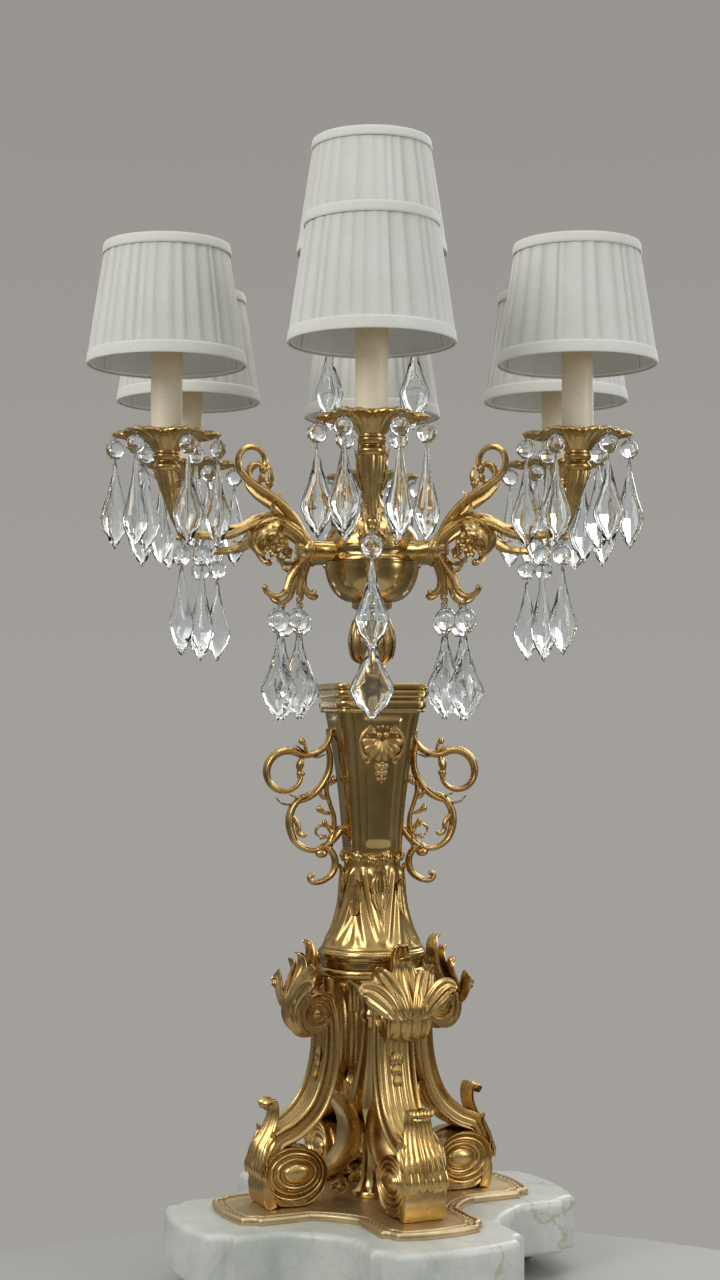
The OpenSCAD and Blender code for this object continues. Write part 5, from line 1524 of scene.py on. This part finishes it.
    # the head's barrel, cut into upright rounded lobes, under a palmette of five broad lobes
    petal(mesh, [(45.0, 0, 138), (50.0, 0, 131.6), (57.5, 0, 128.6), (64.4, 0, 131.0), (69.2, 0, 137.2),
                 (71.0, 0, 146), (70.0, 0, 155), (64, 0, 162)], (0.55, 0, -0.85),
          [12.0, 13.4, 15.4, 17.0, 18.2, 18.4, 17.6, 15.0], 2.0, 0.085, -0.08, 3.2, 0.0, ns=60, nw=85)
    lobes = (([(73.4, 0, 147.5), (73.4, 0, 157), (69.0, 0, 167), (63.8, 0, 175.5), (60.6, 0, 183),
               (61.4, 0, 190), (66.0, 0, 193.5)], [5.0, 7.6, 10.4, 11.4, 11.0, 10.2, 9.2], 1.5, (1, 0, 0.35)),
             ([(72.4, 6.4, 147.0), (72.2, 8.6, 156), (68.4, 13.4, 165.5), (63.6, 17.6, 174),
               (60.0, 21.0, 181), (62.4, 24.0, 186.0)], [4.6, 7.2, 9.6, 10.4, 9.8, 8.8], 1.5,
              (1, 0.30, 0.30)), ([(71.4, 12.6, 147.5), (71.6, 16.0, 154.5), (70.6, 22.5, 161.5),
                                  (69.0, 29.5, 167.0), (68.0, 35.5, 169.5), (70.4, 40.5, 168.0)],
                                 [4.6, 7.0, 9.0, 9.8, 9.2, 8.0], 1.5, (1, 0.40, 0.25)))
    for kind, (spine, width, ribs, out) in enumerate(lobes):
        for sgn in ((1,) if kind == 0 else (-1, 1)):
            petal(mesh, [(x, y * sgn, z) for x, y, z in spine], (out[0], out[1] * sgn, out[2]), width, ribs,
                  0.07, 0.05, 2.4, 0.36, ns=54, nw=33, lean=-0.14, round_base=0.16)
    for sgn in (-1, 1):
        for spine in ([(72.0, sgn * 3.4, 146.5), (72.6, sgn * 4.2, 153), (70.4, sgn * 6.4, 161)],
                      [(71.6, sgn * 9.6, 146.0), (72.4, sgn * 11.2, 152.5), (71.0, sgn * 14.6, 160)]):
            petal(mesh, spine, (1, 0, 0.2), [2.4, 3.4, 2.6], 1.0, 0.08, -0.15, 2.0, 0.4, ns=18,
                  nw=11, round_base=0.4)
    # a ribbed back closes the palmette towards the ring
    petal(mesh, [(63, 0, 152), (60, 0, 162), (56, 0, 172), (53.6, 0, 184), (53.0, 0, 194), (56.0, 0, 201),
                 (60.0, 0, 201.5)], (1, 0, 0.3), [12.0, 13.0, 12.0, 9.4, 8.4, 8.0, 7.2], 2.0,
          0.06, 0.1, 2.4, 0.3)
    turned(mesh, [(0.2, 0), (6.2, 0), (7.0, 0.8), (7.0, 33.2), (6.6, 34), (0.2, 34)], 32,
           (RING_R - 8, 0, LEG_H - 34))
    # nothing goes below the plate's top
    mesh.v = [np.stack([v[:, 0], v[:, 1], np.maximum(v[:, 2], 0.05)], 1) for v in mesh.v]
    return mesh


def build_legs():
    cast(leg_mesh(), GILT, *[(f"leg_cast_{i + 1}", f"leg_{i + 1}", BASE_TURN + 90 * i, (0, 0, LEG_Z))
                             for i in range(4)])


def build_baluster():
    mesh = Mesh()
    h = LEG_H
    lathe(mesh, [(0.3, 0), (15.4, 0), (16, 0.8), (16, 3.4), (14.6, 4.6), (12, 7), (9.6, 11), (8.6, 16),
                 (8, 24), (7.8, 30), (8.2, 38), (9, 44), (10.6, 48), (13, 52), (15, 56.5), (16.5, 62),
                 (17.1, 68), (17, 72), (16.2, 79), (15, 86), (13.2, 94), (11, 104), (9.7, 112), (8.6, 121),
                 (7.7, 130), (7.5, 135), (8.6, 137.4), (9.7, 139.2), (9.9, 141), (9.6, 143.2), (8.3, 145.2),
                 (8.0, 148), (9.6, 153), (12.6, 159), (16.6, 165), (19.6, 168), (20, 170),
                 (20, h), (0.3, h)], 96)
    cast(mesh, GILT_SMOOTH, ("baluster_turned", "centre_baluster", 0, (0, 0, LEG_Z)))


# Plate, marble and feet
def lobe_side(reach, half, notch):
    """One side of a lobe: a hollow notch, a small ear and a bowed tip."""
    ear = half * 0.12
    c = (notch + half * 1.25) / math.sqrt(2) + half * 0.2
    r = c * math.sqrt(2) - notch
    a = math.degrees(math.asin(min(1, (c - half) / r)))
    arc = [(c + r * math.cos(math.radians(g)), c + r * math.sin(math.radians(g)))
           for g in np.linspace(225, 180 + a, 7)]
    lip = [(reach - half * 0.42, half), (reach - half * 0.36, half - ear),
           (reach - half * 0.14, half - ear * 1.6)]
    bow = [(reach - half * 0.1 * v * v, (half - ear * 2.4) * v) for v in (1.0, 0.75, 0.5, 0.25)]
    return arc + lip + bow


def lobed(reach, half, notch, fine=3):
    """The whole outline of four lobes, each straight step cut into fine pieces."""
    side = lobe_side(reach, half, notch)
    lower = [(x, -y) for x, y in side[1:]]
    upper = side[:0:-1]
    pts = []
    for i in range(4):
        g = math.radians(90 * i)
        for x, y in lower + [(reach, 0.0)] + upper + [side[0]]:
            pts.append((x * math.cos(g) - y * math.sin(g), x * math.sin(g) + y * math.cos(g)))
    pts = np.array(pts)
    out = []
    for i in range(len(pts)):
        a, b = pts[i], pts[(i + 1) % len(pts)]
        for k in range(fine):
            out.append(a + (b - a) * k / fine)
    return np.array(out)


def inset_outline(outline, d, n=640):
    """The outline moved inwards by d, at n even angles. All of it can be seen from the axis."""
    g = TAU * np.arange(n) / n
    ray = np.stack([np.cos(g), np.sin(g)], 1)
    start, step = outline, np.roll(outline, -1, 0) - outline
    step_2 = (step ** 2).sum(1)
    turn = np.arctan2(outline[:, 1], outline[:, 0])
    high = np.interp(g, turn, np.hypot(outline[:, 0], outline[:, 1]), period=TAU)
    if d <= 0:
        return ray * high[:, None]
    low = np.maximum(high - 6 * d - 2, 0)
    for _ in range(12):
        middle = (low + high) / 2
        gap = (ray * middle[:, None])[:, None] - start
        on = np.clip((gap * step).sum(2) / step_2, 0, 1)
        near = np.sqrt(((gap - on[:, :, None] * step) ** 2).sum(2)).min(1)
        low, high = np.where(near >= d, middle, low), np.where(near >= d, high, middle)
    return ray * low[:, None]


def moulded_slab(outline, steps):
    """Rings of the outline, each (inset, height), closed flat above and below."""
    rings = []
    for d, z in steps:
        o = inset_outline(outline, d)
        rings.append(np.column_stack([o, np.full(len(o), z)]))
    return tube(Mesh(), rings)


LEAF_STEP = 6.4


def build_plate():
    outline = lobed(128.0, 42.0, 76.0, 4)
    h = PLATE_H
    mesh = moulded_slab(outline, [(2.0, 0.05), (0.4, 0.05), (0.1, 0.6), (0.1, 1.7), (0.9, 2.1), (1.0, 2.5),
                                  (0.3, 2.9), (0.2, 3.6), (0.7, 4.5), (1.8, h + 0.5), (2.9, h + 0.6),
                                  (3.7, h + 0.1), (4.2, h - 0.9), (9.2, h - 1.0), (9.7, h - 0.2),
                                  (10.3, h + 0.05), (11.0, h - 0.05), (11.6, h - 0.3), (14.0, h - 0.3)])
    # a running leaf pattern in the channel behind the rim
    track = inset_outline(outline, 6.6)
    track = np.vstack([track, track[:1]])
    arc = arc_length(track)
    count = int(arc[-1] / LEAF_STEP)
    for i in range(count):
        at = arc[-1] * i / count
        (x, y), (x2, y2) = ([np.interp(s, arc, track[:, j]) for j in (0, 1)] for s in (at, at + 1.0))
        g = math.degrees(math.atan2(y2 - y, x2 - x))
        part = Mesh()
        for sgn in (-1, 1):
            leaf(part, [(-2.6, 0, 0), (0.2, sgn * 1.0, 0.5), (3.0, sgn * 2.0, 0.1)], [(0, 0, 1)] * 3,
                 [(0, 1, 0)] * 3, [0.4, 1.0, 0.3], lobes=1, depth=0.1, cup=-0.1, rib=0.3, fold=0.2,
                 thick=0.8, ns=8, nw=5)
        ball(part, (-2.9, 0, 0.1), 0.9, 6, m=3)
        mesh.join(part, rot_z(g), (x, y, h - 0.9))
    cast(mesh, GILT_PLATE, ("plate_moulded", "gilt_plate", BASE_TURN, (0, 0, PLATE_Z)))


def build_marble():
    outline = lobed(164.0, 62.0, 112.0, 5)
    h = MARBLE_H
    steps = [(6.0, 0.05), (4.0, 0.2), (1.6, 1.0), (0.4, 2.4), (0.0, 4.2)]
    steps += [(0.0, h * q) for q in (0.2, 0.4, 0.6, 0.8)]
    steps += [(0.0, h - 5.2), (0.35, h - 3.4), (1.2, h - 1.8), (2.6, h - 0.7), (4.4, h - 0.1),
              (6.5, h), (10.0, h)]
    data = moulded_slab(outline, steps).data("marble_lobed", [MARBLE])
    place_object("marble_lobed", data, "lamp", ("marble_slab",), "marble", BASE_TURN, (0, 0, MARBLE_Z))


def build_feet():
    f, r = FOOT_H, FOOT_R
    mesh = lathe(Mesh(), [(0.2, 0.05), (r * 0.62, 0.05), (r * 0.7, 0.3), (r * 0.90, f * 0.10),
                          (r * 0.98, f * 0.22), (r, f * 0.34), (r * 0.97, f * 0.45), (r * 0.86, f * 0.58),
                          (r * 0.66, f * 0.67), (r * 0.62, f * 0.72), (r * 0.62, f * 0.82),
                          (r * 0.70, f * 0.87), (r * 0.84, f * 0.90), (r * 0.86, f * 0.94),
                          (r * 0.86, f - 0.05), (0.2, f - 0.05)], 64)
    for i in range(4):
        a = math.radians(BASE_TURN + 90 * i)
        cast(mesh, GILT_SMOOTH, (f"bun_foot_{i + 1}", "bun_feet", 0,
                                 (FEET_RING_R * math.cos(a), FEET_RING_R * math.sin(a), 0)))


# Stage and light
def build_stage():
    m, tree, shader = material("table_top")
    tone = tree.ramp(tree.noise(3.0, 4.0), (0.35, (0.38, 0.38, 0.37)), (0.7, (0.42, 0.42, 0.41)))
    tree.fill(shader, Base_Color=tone, Roughness=0.6)
    table = lathe(Mesh(), [(0.5, -30), (512, -30), (519, -26), (520, -8), (516, -2), (508, 0), (0.5, 0)], 180)
    data = bpy.data.meshes.new("table_top")
    data.from_pydata((np.concatenate(table.v) * MM).tolist(), [], table.f)
    data.materials.append(m)
    data.update()
    o = bpy.data.objects.new("table_top", data)
    bpy.context.scene.collection.objects.link(o)
    o.location = (0, -0.34, 0)


def area_light(name, place, target, size, power, colour):
    data = bpy.data.lights.new(name, "AREA")
    data.shape = "RECTANGLE"
    data.size, data.size_y = size
    data.energy = power
    data.color = colour
    o = bpy.data.objects.new(name, data)
    bpy.context.scene.collection.objects.link(o)
    o.location = place
    d = np.array(target, float) - np.array(place, float)
    d /= np.linalg.norm(d)
    o.rotation_euler = (math.acos(-d[2]), 0, math.atan2(-d[0], d[1]))


# Each light's name, place and target (metres), size, power (watts) and colour
LIGHTS = (("key", (-1.5, -1.5, 1.7), (0, 0, 0.5), (1.0, 1.2), 24, (1.0, 0.985, 0.96)),
          ("side", (1.7, -0.9, 1.0), (0, 0, 0.45), (0.5, 1.4), 9.2, (0.96, 0.98, 1.0)),
          ("top", (0.2, 0.1, 2.3), (0, 0, 0.4), (1.6, 1.6), 17.5, (1.0, 1.0, 0.99)),
          ("back", (0.9, 1.7, 1.3), (0, 0, 0.5), (1.0, 0.8), 9.2, (1.0, 0.98, 0.95)))


def grey(v):
    return v, v, v


def build_light():
    for light in LIGHTS:
        area_light(*light)
    world = bpy.data.worlds.new("studio")
    bpy.context.scene.world = world
    world.use_nodes = True
    tree = Tree(world.node_tree)
    z = tree.node("ShaderNodeSeparateXYZ", Vector=tree.coord["Generated"]).outputs["Z"]
    lift = tree.node("ShaderNodeMapRange", Value=z, From_Min=-1.0, From_Max=1.0).outputs["Result"]
    # the wall that the camera sees
    wall = tree.ramp(lift, (0.30, (0.365, 0.352, 0.332)), (0.50, (0.365, 0.352, 0.332)),
                     (0.66, (0.312, 0.296, 0.280)))
    # what the crystals show through their facets: the wall, a pale ceiling and a dim floor
    through = tree.ramp(lift, (0.22, (0.16, 0.16, 0.155)), (0.40, (0.37, 0.37, 0.36)),
                        (0.60, (0.40, 0.41, 0.40)), (0.78, (0.95, 0.95, 0.94)))
    # what polished metal mirrors: a pale ceiling, a grey room and dim doorways
    room = tree.ramp(lift, (0.0, (0.34, 0.34, 0.33)), (0.40, (0.17, 0.165, 0.16)),
                     (0.52, (0.27, 0.262, 0.25)), (0.70, (0.52, 0.51, 0.49)), (0.86, (0.90, 0.89, 0.87)))
    turn = tree.node("ShaderNodeTexGradient", Vector=tree.coord["Generated"],
                     gradient_type="RADIAL").outputs["Fac"]
    dim, lit = grey(0.28), grey(1.05)
    doors = tree.ramp(turn, (0.0, dim), (0.10, lit), (0.17, dim), (0.26, grey(0.95)), (0.36, grey(0.42)),
                      (0.45, grey(1.2)), (0.56, dim), (0.70, grey(0.85)), (0.80, dim),
                      (0.90, lit), (1.0, dim))
    mirror = tree.mix(0.8, room, doors, "MULTIPLY")
    ray = tree.node("ShaderNodeLightPath").outputs
    mirrored = tree.maths("SUBTRACT", ray["Is Glossy Ray"], ray["Is Transmission Ray"], use_clamp=True)
    seen = tree.mix(mirrored, tree.mix(ray["Is Transmission Ray"], wall, through), mirror)
    back = tree.fill(tree.nodes.get("Background"), Color=tree.mix(ray["Is Diffuse Ray"], seen,
                                                                  grey(0.44)), Strength=1.0)
    tree.fill(tree.nodes.get("World Output"), Surface=back.outputs["Background"])


def dress_nodes():
    """The CAD nodes that stay: rod, nuts and lamp holders, which are hidden."""
    for name, finish in (("tie_rod", STEEL), ("rod_nuts", STEEL), ("lamp_holders", HOLDER)):
        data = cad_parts[name].data
        data.materials.clear()
        data.materials.append(finish)


bpy.context.scene.view_settings.view_transform = "Standard"
for build in (build_shades, build_candles, build_pans, build_crystals, build_arms, build_hub, build_stems,
              build_vase, build_shells, build_handles, build_vase_foot, build_ring, build_legs,
              build_baluster, build_plate, build_marble, build_feet, build_stage, build_light, dress_nodes):
    build()
